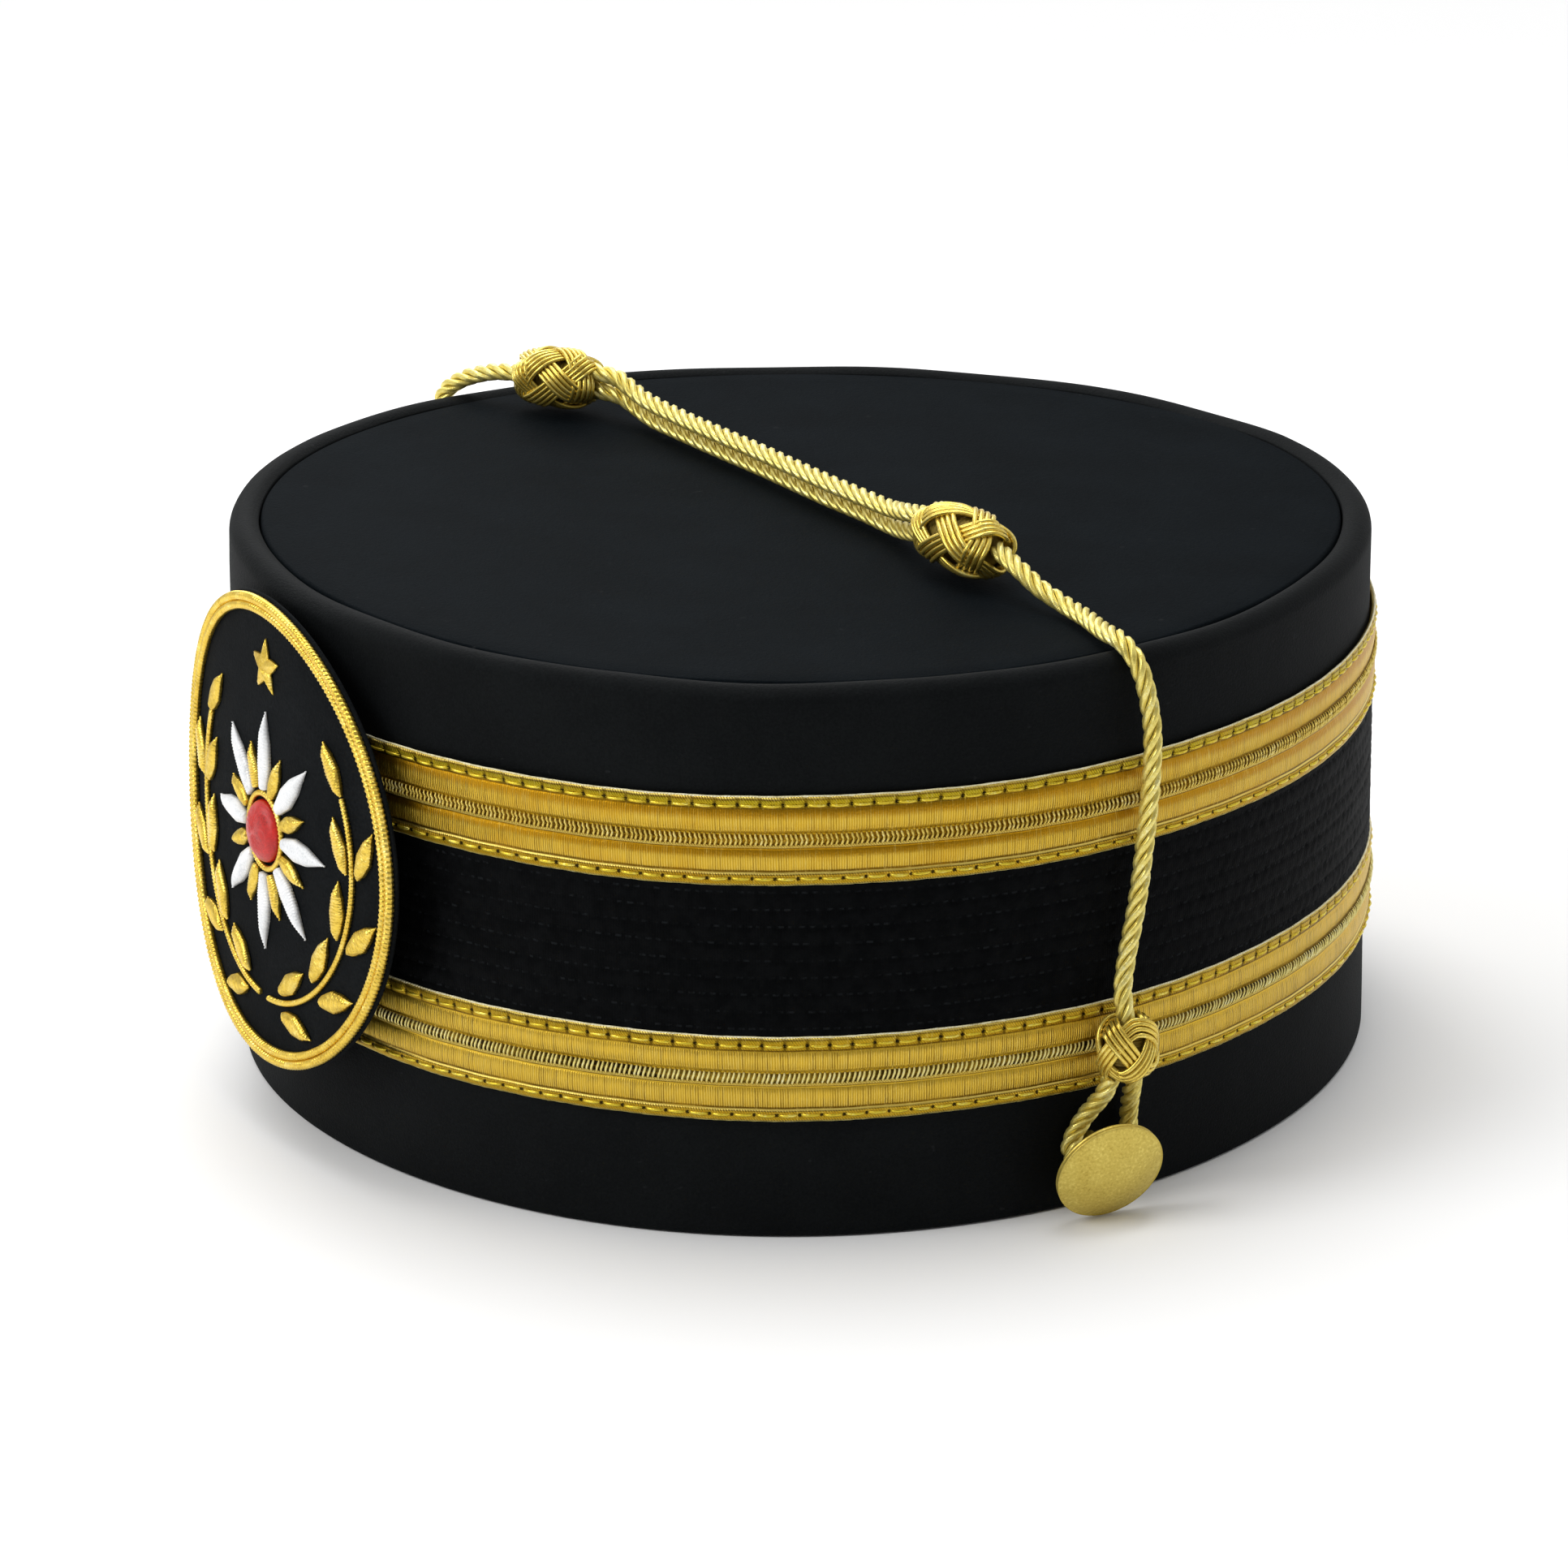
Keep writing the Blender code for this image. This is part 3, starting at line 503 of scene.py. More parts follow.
def wovenKnot(name, centre, halfLength, radius, leads, bights, threads, pitch, phase, degrees=0,
              upright=False, flatness=1.0):
    # the middle of the band: round by leads/bights of a turn for each wave of latitude, up
    # and down by a sine, in and out by a sine that makes it pass over and under in turn
    u = np.linspace(0, 2 * np.pi * bights, weave["steps"] * bights, endpoint=False)
    thread = pitch * weave["thickness"]
    inner = radius - weave["lap"] - thread
    tall = halfLength - thread
    reach = math.radians(weave["reach"])

    def barrel(latitude):
        # how far out and how high the barrel is at a latitude
        return inner * np.cos(latitude) ** weave["fullness"], tall * np.sin(latitude)

    latitude = reach * np.sin(u)
    ring, _ = barrel(latitude)
    rise = np.hypot(inner * 0.6 * np.sin(latitude), tall * np.cos(latitude))
    roundRate, upRate = ring * leads / bights, rise * reach * np.cos(u)
    rate = np.hypot(roundRate, upRate)
    shift = ((np.arange(threads) - (threads - 1) / 2) * pitch)[:, None]
    turn = u * leads / bights + phase - shift * upRate / (rate * ring)
    latitude = latitude + shift * roundRate / (rate * rise)
    latitude = np.clip(latitude, -weave["steepest"], weave["steepest"])
    ring, height = barrel(latitude)
    lap = weave["lap"] * np.sin((leads - 1) * (u - np.pi / 2))
    heading = math.radians(degrees)
    axis = np.array([0, 0, 1.0] if upright else [math.cos(heading), math.sin(heading), 0])
    sideways = np.array([0, 1.0, 0]) if upright else unit(np.cross((0, 0, 1.0), axis))
    upward = np.cross(axis, sideways)
    outward = np.cos(turn)[..., None] * sideways + np.sin(turn)[..., None] * upward
    lean = (weave["lean"] * np.sin(latitude))[..., None] * axis
    facing = unit(outward + lean)
    place = outward * ring[..., None] + axis * height[..., None] + facing * lap[None, :, None]
    place = place * np.array([flatness, 1.0, 1.0])
    facing = unit(facing * np.array([1 / flatness, 1.0, 1.0]))
    threadSize = np.full(place.shape[:2], thread)
    paths = place + np.array(centre)
    parts = [tubes(paths, facing, threadSize, threadSize, closed=True, sides=weave["sides"])]
    # a core of wound thread fills the middle, coloured dark gold as painted shade inside the knot
    latitude = np.linspace(-weave["coreReach"], weave["coreReach"], 90)
    ring, height = barrel(latitude)
    spine = (axis * height[:, None] * weave["coreLength"] * np.array([flatness, 1.0, 1.0])
             + np.array(centre))
    size = (ring * weave["coreShare"] * (1 + 0.03 * np.sin(height * 7)))[None]
    upFacing = np.broadcast_to(sideways if upright else upward, spine.shape)[None]
    parts.append(tubes(spine[None], upFacing, size, size * flatness, sides=24))
    return addPiece(name, *joined(parts), [knotGold, shadedKnotCore], "cord", [nodeOf[name]],
                    [faceCount(part) for part in parts])


knotPieces = {row["name"]: wovenKnot(**row) for row in knots}
yAxis, xAxis = np.array([0.0, 1.0, 0.0]), np.array([1.0, 0.0, 0.0])
for name, route, knotNames, phase in (("leftCord", leftRoute, ["leftKnot", "nearKnot"], 0.4),
                                      ("upperCord", upperRoute, ["farKnot"], 1.2),
                                      ("lowerCord", lowerRoute, [], 2.0),
                                      ("rightCord", rightRoute, ["rightKnot"], 0.9)):
    twistedCord(name, route, cord["intoKnot"], cord["intoKnot"], yAxis, cord["lay"],
                phase)
for name, sideSign, phase in (("leftLoop", 1, 0.3), ("rightLoop", -1, 1.7)):
    twistedCord(name, [(sideSign * x, y, z) for x, y, z in loopRoute], cord["loopEnd"],
                cord["loopEnd"], xAxis, cord["loopLay"], phase)
print("cords and knots done")

# the side and the top

side = dict(columns=540, unevenness=[(0.16, 3, 1.3, 0.03), (0.10, 5, 0.2, -0.05),
                                     (0.06, 11, 2.1, 0.04)],
            shoulder=[(0.22, 4, 0.7, 0.0), (0.14, 9, 2.6, 0.0), (0.08, 17, 1.1, 0.0)])


def crownSide():
    # a closed profile, inset against height, carried round the oval; the shoulder dips a little
    middle = cap["height"] + cap["crest"] - cap["cornerRadius"]
    fall = cap["crest"] + cap["seamDepth"]
    corner = np.linspace(0, np.pi / 2, 12)
    rows = [(cap["rimEdge"], 0.0, 0.0), (0.12, 0.12, 0.0), (0.0, cap["rimEdge"], 0.0)]
    rows += [(0.0, z, z / middle) for z in np.linspace(2, middle - 1, 22)]
    rows += [(cap["cornerRadius"] * (1 - math.cos(a)), middle + cap["cornerRadius"] * math.sin(a),
              1.0) for a in corner]
    span = cap["seamInset"] - cap["cornerRadius"]
    rows += [(cap["cornerRadius"] + s * span, cap["height"] + cap["crest"] - fall * s ** 2.2, 1.0)
             for s in (0.2, 0.4, 0.6, 0.8, 0.92, 1.0)]
    under = cap["height"] - cap["turnedEdge"]
    rows += [(cap["seamInset"], cap["height"] - 0.8, 1.0), (cap["seamInset"], under, 1.0),
             ((cap["seamInset"] + cap["wall"]) / 2, under - 0.3 * cap["wall"], 1.0),
             (cap["wall"], under - cap["wall"], 1.0)]
    rows += [(cap["wall"], z, z / middle) for z in np.linspace(under - cap["wall"] - 2, 2, 6)]
    rows += [(cap["wall"], cap["rimEdge"], 0.0), (cap["wall"] - 0.12, 0.12, 0.0),
             (cap["wall"] - cap["rimEdge"], 0.0, 0.0)]
    inset, height, slope = np.array(rows).T
    length = np.linspace(0, girth, side["columns"] + 1)
    turn = turnAt(length[:-1])[:, None]
    lift = np.clip(height / 8, 0, 1) * np.clip((middle + 1 - height) / 6, 0, 1)
    uneven = wave(turn, height, side["unevenness"]) * lift
    top = np.exp(-((height - cap["height"] - 0.4) / 1.6) ** 2) * (inset < cap["seamInset"] + 0.1)
    dip = np.abs(wave(turn, 0, side["shoulder"])) * top
    points = oval(turn, inset - uneven, height - dip, slope)
    path = np.concatenate([[0], np.cumsum(np.hypot(np.diff(inset), np.diff(height)))])
    quads, corners = gridFaces(len(turn), len(rows), True, True, length,
                               np.append(path, path[-1] + 1))
    piece = addPiece("crownSide", points, [quads], [corners], wool, "cloth", ["crown_side"])
    piece.data.materials.append(lining)
    innerRow = (inset[None] > cap["wall"] - 0.2) & (height[None] < under - cap["wall"] + 1)
    inner = np.broadcast_to(innerRow, (len(turn), len(rows))).ravel()
    piece.data.polygons.foreach_set("material_index", inner.astype(np.int32))


def topDisc():
    # rings of the oval from the seam to the middle, with a faint unevenness, and a flat underside
    edge = cap["seamInset"] + cap["gap"]
    share = np.linspace(0, 1, 44) ** 0.8
    reach = min(cap["halfWidth"], cap["halfDepth"]) - edge
    rows = [(edge + 0.15, -cap["topThickness"]), (edge, -cap["topThickness"] + 0.3),
            (edge, -1.0), (edge + 0.08, -0.45), (edge + 0.3, -0.15), (edge + 0.7, -0.02)]
    turn = turnAt(np.linspace(0, girth, side["columns"] // 2 + 1))[:-1, None]
    inset = np.array([row[0] for row in rows])
    drop = np.array([row[1] for row in rows])
    rim = oval(turn, inset, cap["height"] + drop, 1.0)
    ringIn = oval(turn, np.full(1, edge + 0.7), cap["height"], 1.0)
    flat = ringIn * (1 - share[1:-1])[None, :, None] * np.array([1, 1, 0]) \
        + np.array([0, 0, 1]) * (cap["height"] - cap["frontRise"] * ringIn[..., 1:2]
                                 * (1 - share[1:-1])[None, :, None] / cap["halfDepth"])
    far = 1 - share[1:-1]
    swell = 0.16 * np.sin(3 * turn + 0.6) * far ** 2 * (1 - far ** 6) \
        + 0.10 * np.sin(2 * turn + 2.2 + 3 * far) * far * (1 - far ** 4)
    flat[..., 2] -= np.abs(swell)
    under = rim[:, :1] * np.array([1, 1, 0]) * 0.5
    under = under + np.array([0, 0, 1]) * (cap["height"] - cap["topThickness"]
                                           - cap["frontRise"] * under[..., 1:2] / cap["halfDepth"])
    poles = [[0, 0, cap["height"] - cap["topThickness"]], [0, 0, cap["height"]]]
    addPiece("topDisc", *closedGrid(np.concatenate([under, rim, flat], 1), poles, girth, reach),
             shadedTopWool, "cloth", ["top_disc"])


crownSide()
topDisc()
print("side and top done")

# gold lace: rolled, stitched edges, two ribbed fields and a row of slanted stitches

lace = dict(width=14.1, lowerBase=20.1, lowerWidth=14.0, upperBase=59.45, upperWidth=14.5,
            lowerBorder=11.80, upperBorder=12.15, stitch=3.5, rib=0.39, bar=0.78, barRadius=0.21,
            runLow=1.00, runHigh=12.66, runRadius=0.25, holeLow=1.04, holeHigh=12.76,
            holeSize=0.44, lowShift=0.37, back=0.32, turnPitch=0.43, turnRise=0.70,
            cellColumns=(0.0, 0.10, 0.28, 0.50, 0.72, 0.90))
cells = int(round(girth / lace["stitch"]))
cellLength = girth / cells


def laceMaterial(name, tones, shadeAmount, farRibs, border):
    # tones by the place across; ribs run across the two fields; creases and holes stand at the
    # ends of the long edge stitches; the uv is in mm along and across; painted shade darkens the
    # grooves, the gaps between the ribs, the whipped turns, the middle row's ground, each field's
    # upper part, the creases and the holes, and a painted highlight lightens each rib's crest
    material, nodes, links, shader = newMaterial(name)
    along, across = uvPlace(nodes, links)
    share = maths(nodes, links, "DIVIDE", across, lace["width"])

    def calc(operation, *values):
        return maths(nodes, links, operation, *values)

    def scaled(x, y):
        # the uv with each part multiplied
        both = nodes.new("ShaderNodeCombineXYZ")
        links.new(calc("MULTIPLY", along, x), both.inputs[0])
        links.new(calc("MULTIPLY", across, y), both.inputs[1])
        return both.outputs[0]

    def window(places):
        # 0..1 by the place across, as pairs of mm and value
        return ramp(nodes, links, share, [(mmAcross / lace["width"], value)
                                          for mmAcross, value in places], False)

    waver = noise(nodes, links, scaled(0.30, 0.05), 1.0, 2.0, 0.5)
    ribPhase = calc("ADD", calc("DIVIDE", along, lace["rib"]), calc("MULTIPLY", waver, 1.2))
    ribs = calc("MULTIPLY_ADD", calc("SINE", calc("MULTIPLY", ribPhase, 2 * math.pi)), 0.5, 0.5)
    ribAmount = window([(0, 0), (2.15, 0), (2.35, 1), (4.4, 1), (4.95, farRibs),
                        (5.4, farRibs * 0.5), (5.65, 0), (8.45, 0), (8.65, 1), (10.6, 1),
                        (border - 0.8, farRibs), (border - 0.3, farRibs * 0.5),
                        (border - 0.1, 0)])
    streak = noise(nodes, links, scaled(2.6, 0.25), 1.0, 3.0, 0.7)
    unevenRibs = calc("MULTIPLY", ribAmount, ramp(nodes, links, streak, [(0.30, 0.45), (0.62, 1.0)]))
    # each gap between two ribs has its own depth of painted shade: about one in four is a dark line
    chance = nodes.new("ShaderNodeTexWhiteNoise")
    chance.noise_dimensions = "1D"
    links.new(calc("FLOOR", calc("ADD", ribPhase, 0.75)), chance.inputs["W"])
    gapShadeDepth = ramp(nodes, links, chance.outputs["Value"], [(0.0, 0.50), (0.66, 0.72), (0.76, 1.25)])
    slope = calc("ADD", calc("DIVIDE", along, lace["turnPitch"]), calc("DIVIDE", across, lace["turnRise"]))
    whipping = calc("MULTIPLY_ADD", calc("SINE", calc("MULTIPLY", slope, 2 * math.pi)), 0.5, 0.5)
    rollAmount = window([(0, 0.5), (0.35, 1), (1.6, 1), (1.85, 0), (5.75, 0), (5.90, 1.4),
                         (6.42, 1.4), (6.5, 0), (border - 0.1, 0), (border + 0.2, 1), (13.7, 1),
                         (14.1, 0.5)])
    # painted shade: the dark lines at the grooves between edges, fields and cords, the dark ground of the
    # middle row under its slanted stitches, and the darker brown on the upper part of each field
    tone = window([(0.0, tones["pale"]), (0.32, tones["mid"]), (1.5, tones["bright"]),
                   (1.64, tones["dark"]), (1.74, tones["pale"]), (1.90, tones["pale"]),
                   (2.00, tones["dark"]), (2.24, tones["dark"]), (2.5, tones["bright"]),
                   (4.3, tones["bright"]), (4.9, tones["brownAndShade"]), (5.65, tones["brownAndShade"]),
                   (5.82, tones["dark"]), (5.98, tones["pale"]), (6.36, tones["pale"]),
                   (6.46, tones["row"]),
                   (6.95, tones["row"]), (7.1, tones["cross"]), (7.25, tones["row"]),
                   (8.00, tones["row"]), (8.16, tones["mid"]), (8.36, tones["dark"]),
                   (8.7, tones["bright"]),
                   (10.3, tones["bright"]), (border - 1.0, tones["brownAndShade"]),
                   (border - 0.2, tones["brownAndShade"]), (border - 0.05, tones["dark"]),
                   (border + 0.08, tones["dark"]), (border + 0.28, tones["olive"]),
                   (13.45, tones["olive"]),
                   (13.7, tones["dark"]), (13.95, tones["pale"])])
    # painted shade: the gaps between the ribs are darkened towards the gap colour
    shade = calc("MULTIPLY", calc("MULTIPLY", unevenRibs, shadeAmount),
                 calc("MULTIPLY", gapShadeDepth, calc("SUBTRACT", 1.0, ribs)))
    tone = mixColour(nodes, links, shade, tone, tones["gap"])
    # painted highlight: each rib's crest is mixed towards the pale rib colour
    crest = calc("POWER", ribs, 4.0)
    tone = mixColour(nodes, links, calc("MULTIPLY", calc("MULTIPLY", unevenRibs, shadeAmount * 0.8), crest),
                     tone, tones["rib"])
    # painted shade between the whipped turns on the rolled edges and the pale cord
    tone = mixColour(nodes, links, calc("MULTIPLY", calc("MULTIPLY", rollAmount, 0.30),
                                        calc("SUBTRACT", 1.0, whipping)), tone, tones["gap"])
    tone = mixColour(nodes, links, ramp(nodes, links, streak, [(0.52, 0.0), (0.80, 0.55)]),
                     tone, tones["pale"])
    # brown patches at random, in the same brown that paints the fields' shade
    drift = noise(nodes, links, scaled(0.10, 0.22), 1.0, 2.0, 0.5)
    tone = mixColour(nodes, links, ramp(nodes, links, drift, [(0.42, 0.0), (0.75, 0.40)]),
                     tone, tones["brownAndShade"])

    def fromEnd(shift):
        # the way along to the nearest end of a long stitch, in mm
        cell = calc("FRACT", calc("ADD", calc("DIVIDE", along, cellLength), shift + 0.5))
        return calc("MULTIPLY", calc("SUBTRACT", cell, 0.5), cellLength)

    # painted shade in the pinched creases at the ends of the long stitches on the upper roll
    creaseShade = ramp(nodes, links, calc("ABSOLUTE", fromEnd(0.0)), [(0.10, 0.85), (0.42, 0.0)])
    creaseShade = calc("MULTIPLY", creaseShade, window([(0, 0), (border - 0.1, 0), (border + 0.2, 1),
                                                (13.3, 0.9), (13.7, 0.2), (14.1, 0)]))
    tone = mixColour(nodes, links, creaseShade, tone, tones["dark"])

    def shadedHoles(shift, middle):
        # a round hole at each end of the long stitches, painted dark as its shade: by distance along and
        # across
        far = calc("DIVIDE", fromEnd(shift), lace["holeSize"])
        side = calc("DIVIDE", calc("SUBTRACT", across, middle), lace["holeSize"] * 0.85)
        ragged = calc("MULTIPLY", calc("SUBTRACT", streak, 0.5), 1.4)
        reach = calc("ADD", ragged, calc("SQRT", calc("ADD", calc("MULTIPLY", far, far),
                                                      calc("MULTIPLY", side, side))))
        return ramp(nodes, links, reach, [(0.55, 1.0), (0.98, 0.0)])

    holeShade = calc("ADD", shadedHoles(0.0, lace["holeHigh"]), shadedHoles(lace["lowShift"], lace["holeLow"]))
    tone = mixColour(nodes, links, calc("MULTIPLY", holeShade, 0.94), tone, tones["hole"])
    links.new(tone, shader.inputs["Base Color"])
    shader.inputs["Metallic"].default_value = 0.93
    shader.inputs["Roughness"].default_value = 0.38
    fleck = noise(nodes, links, nodes.new("ShaderNodeTexCoord").outputs["Object"], 3000, 2.0, 0.6)
    height = calc("ADD", calc("MULTIPLY", ribs, unevenRibs),
                  calc("ADD", calc("MULTIPLY", whipping, rollAmount),
                       calc("MULTIPLY", fleck, 0.45)))
    links.new(addBump(nodes, links, height, 0.00011, 0.9), shader.inputs["Normal"])
    return material


# gap, dark, row and hole are painted shade colours, rib is a painted highlight, and the brown tone also
# paints shade on the fields
laceTones = dict(pale=(0.86, 0.66, 0.15), bright=(0.64, 0.405, 0.030), mid=(0.52, 0.32, 0.011),
                 olive=(0.52, 0.40, 0.016), brownAndShade=(0.49, 0.245, 0.004), dark=(0.13, 0.070, 0.002),
                 gap=(0.15, 0.075, 0.002), hole=(0.008, 0.004, 0.001), row=(0.15, 0.075, 0.003),
                 cross=(0.38, 0.23, 0.011), rib=(0.86, 0.68, 0.20))
upperLaceGold = laceMaterial("upper gold lace", laceTones, 0.56, 0.38, lace["upperBorder"])
# the lower lace's copy is painted lighter, as lit from the floor below: brighter fields and roll, less
# painted shade on each field's upper part, and a darker painted shade under the middle row
lowerLaceGold = laceMaterial("lower gold lace", dict(laceTones, brownAndShade=(0.72, 0.46, 0.038),
                                                     bright=(0.70, 0.45, 0.036),
                                                     olive=(0.58, 0.38, 0.018),
                                                     cross=(0.20, 0.11, 0.005),
                                                     row=(0.024, 0.013, 0.001)),
                             0.74, 1.0, lace["lowerBorder"])
selvageThread = threadMaterial("selvage thread", (0.52, 0.43, 0.18), (0.88, 0.80, 0.48),
                               (0.96, 0.94, 0.76), 0.15, 0.4, 0.55, 0.00005, 1.0)
stitchGold = threadMaterial("lace stitches", (0.60, 0.46, 0.08), (0.90, 0.77, 0.26),
                            (0.98, 0.93, 0.56), 0.40, 0.36, 0.25, 0.00002, 0.3)
crossedGold = threadMaterial("crossed stitches", (0.50, 0.33, 0.030), (0.80, 0.60, 0.115),
                             (0.96, 0.87, 0.40), 0.45, 0.36, 0.30, 0.00002, 0.3)
runningGold = threadMaterial("long stitches", (0.46, 0.31, 0.010), (0.76, 0.58, 0.035),
                             (0.94, 0.84, 0.22), 0.65, 0.32, 0.40, 0.00003, 0.25)


def bump(x, centre, width):
    # a soft rise about the centre
    return np.exp(-((x - centre) / width) ** 2)


def hump(x, start, end):
    # a full arch from start to end
    t = np.clip((x - start) / (end - start), 0, 1)
    return np.sin(np.pi * t) ** 0.6


def endOfStitch(along, offset, width):
    # a soft rise where each long stitch ends
    t = (along / cellLength + offset) % 1.0
    return np.exp(-(np.minimum(t, 1 - t) * cellLength / width) ** 2)


def laceHeight(along, across, border):
    # how far the lace stands off the wall: rolled edges pinched where each long stitch ends,
    # two domed fields, thin cords beside the middle row, and grooves between them all
    topPinch = endOfStitch(along, 0.0, 0.34)
    lowPinch = endOfStitch(along, lace["lowShift"], 0.40)
    height = 0.62 + 0 * along * across
    height = height + 0.46 * hump(across, -0.35, 1.95) * (1 - 0.18 * lowPinch)
    height = height + 0.52 * hump(across, border, 14.45) * (1 - 0.50 * topPinch)
    height = height + 0.44 * hump(across, 1.95, 5.75) + 0.44 * hump(across, 8.35, border)
    height = height + 0.40 * bump(across, 6.20, 0.26) + 0.34 * bump(across, 8.15, 0.24)
    height = height + 0.10 * bump(across, 7.10, 0.25)
    height = height - 0.38 * lowPinch * bump(across, lace["holeLow"], 0.34)
    height = height - 0.20 * topPinch * bump(across, lace["holeHigh"], 0.34)
    pucker = endOfStitch(along, 0.5, 0.9) * bump(across, border - 0.5, 0.5)
    return np.clip(height + 0.05 * pucker, 0.34, 1.55)


def laceSway(along, base):
    # how the band wanders up and down: two slow waves along it
    return 0.08 * np.sin(along * 0.102 + base) + 0.03 * np.sin(along * 0.63)


def laceThreads(along, up, off, base, across, beside, **how):
    # threads by their way along, up from the band's foot and off the wall
    turn = turnAt(along)
    paths = oval(turn, -off, base + up + laceSway(along, base))
    facing = unit(oval(turn, -off - 1, 0) - oval(turn, -off, 0))
    return tubes(paths, facing, across, beside, **how)


def slantedStitches(base, stretch, tiers):
    # the middle row: short bent threads that lean by a cubic and rise in an arch; each tier is
    # given as its two edges, lean, arch and number of points
    count = int(girth / lace["bar"])
    number = np.arange(count)
    spot = (number + 0.5 + 0.06 * np.sin(number * 2.4)) * girth / count
    bars = []
    for low, high, slant, arch, steps in tiers:
        s = np.linspace(-1, 1, steps)
        along = spot[:, None] + slant / 2 * (1.5 * s - 0.5 * s ** 3) \
            + 0.05 * np.sin(number * 5.3)[:, None]
        up = ((low + high) / 2 + s * (high - low) / 2) * stretch + 0 * along
        lift = 0.06 * np.sin(number * 1.7)[:, None]
        off = 0.88 + arch * np.cos(s * np.pi / 2) ** 0.6 + lift + 0.10 * s
        size = lace["barRadius"] * (0.80 + 0.20 * np.cos(s * np.pi / 2)) + 0 * along
        bars.append(laceThreads(along, up, off, base, size * 0.8, size, sides=4))
    return joined(bars)


def longStitches(base, stretch, shift, place, hole, radius):
    # the running stitches on a rolled edge: each stands off in the middle and its ends go down
    # into the holes
    s = np.linspace(0, 1, 6)
    number = np.arange(cells)
    along = (number[:, None] - shift + 0.04 + 0.92 * s) * cellLength
    ends = np.abs(2 * s - 1) ** 3
    tilt = 0.05 * np.sin(number * 2.7 + base)[:, None] * (2 * s - 1)
    up = (place + (hole - place) * 0.75 * ends + tilt) * stretch
    off = 0.66 + 0.48 * (1 - ends) + 0.04 * np.sin(number * 1.9)[:, None]
    size = radius * (0.62 + 0.38 * (1 - ends)) + 0 * along
    return laceThreads(along, up, off, base, size * 0.8, size, sides=5)


def selvage(base, edge, off, radius):
    # a thin thread along an edge, uneven in thickness
    along = np.linspace(0, girth, 600, endpoint=False)[None]
    size = radius * (1 + 0.12 * np.sin(along * 2.9 + 2 * np.sin(along * 0.7)))
    return laceThreads(along, edge, off, base, size, size, closed=True, sides=5)


def laceBand(name, node, base, width, border, tiers, material, stitch):
    # the band's section, its height off the wall by the place across, carried round the oval,
    # with the threads on it
    stretch = width / lace["width"]
    columns = (np.arange(cells)[:, None] + np.array(lace["cellColumns"])).ravel()
    length = np.append(columns, cells) * cellLength
    across = np.concatenate([np.linspace(0, 2.25, 10), np.linspace(2.6, 5.2, 6),
                             np.linspace(5.5, 8.6, 11), np.linspace(9.0, 11.4, 6),
                             np.linspace(11.7, 14.1, 11)])
    along = length[:-1, None]
    turn, sway = turnAt(along), laceSway(along, base)
    edgeSway = 0.05 * np.sin(along * np.pi / cellLength) * (across > 13.5)
    outer = oval(turn, -laceHeight(along, across, border), base + across * stretch + sway + edgeSway)
    backAcross = np.array([lace["width"] - 0.15, lace["width"] / 2, 0.15])
    back = oval(turn, np.full(3, -lace["back"]), base + backAcross * stretch + sway)
    points = np.concatenate([outer, back], 1)
    quads, corners = gridFaces(len(turn), points.shape[1], True, True, length,
                               np.concatenate([across, backAcross, [0.0]]))
    parts = [(points, [quads], [corners]), slantedStitches(base, stretch, tiers),
             longStitches(base, stretch, 0.0, lace["runHigh"], lace["holeHigh"],
                          lace["runRadius"]),
             longStitches(base, stretch, lace["lowShift"], lace["runLow"], lace["holeLow"],
                          lace["runRadius"] * 1.2),
             selvage(base, (lace["width"] + 0.03) * stretch, 0.80, 0.18),
             selvage(base, 0.05 * stretch, 0.72, 0.17)]
    count = [faceCount(part) for part in parts]
    addPiece(name, *joined(parts), [material, stitch, runningGold, selvageThread, stitchGold],
             "lace", [node], [count[0], count[1], count[2] + count[3], count[4], count[5]])


laceBand("lowerLace", "lower_lace", lace["lowerBase"], lace["lowerWidth"], lace["lowerBorder"],
         [(6.28, 8.18, 0.48, 0.42, 7)], lowerLaceGold, stitchGold)
laceBand("upperLace", "upper_lace", lace["upperBase"], lace["upperWidth"], lace["upperBorder"],
         [(6.25, 7.42, 0.34, 0.26, 4), (7.02, 8.22, -0.34, 0.34, 4)], upperLaceGold, crossedGold)
print("lace done")

# quilted band: rows of small stitches with soft ridges between them

quilt = dict(columns=720, rows=9, spacing=2.84, stitch=1.65, shift=0.37, rib=0.45, back=0.31)
quilt["base"] = lace["lowerBase"] + lace["lowerWidth"] - 0.2
quilt["wide"] = lace["upperBase"] + 0.2 - quilt["base"]


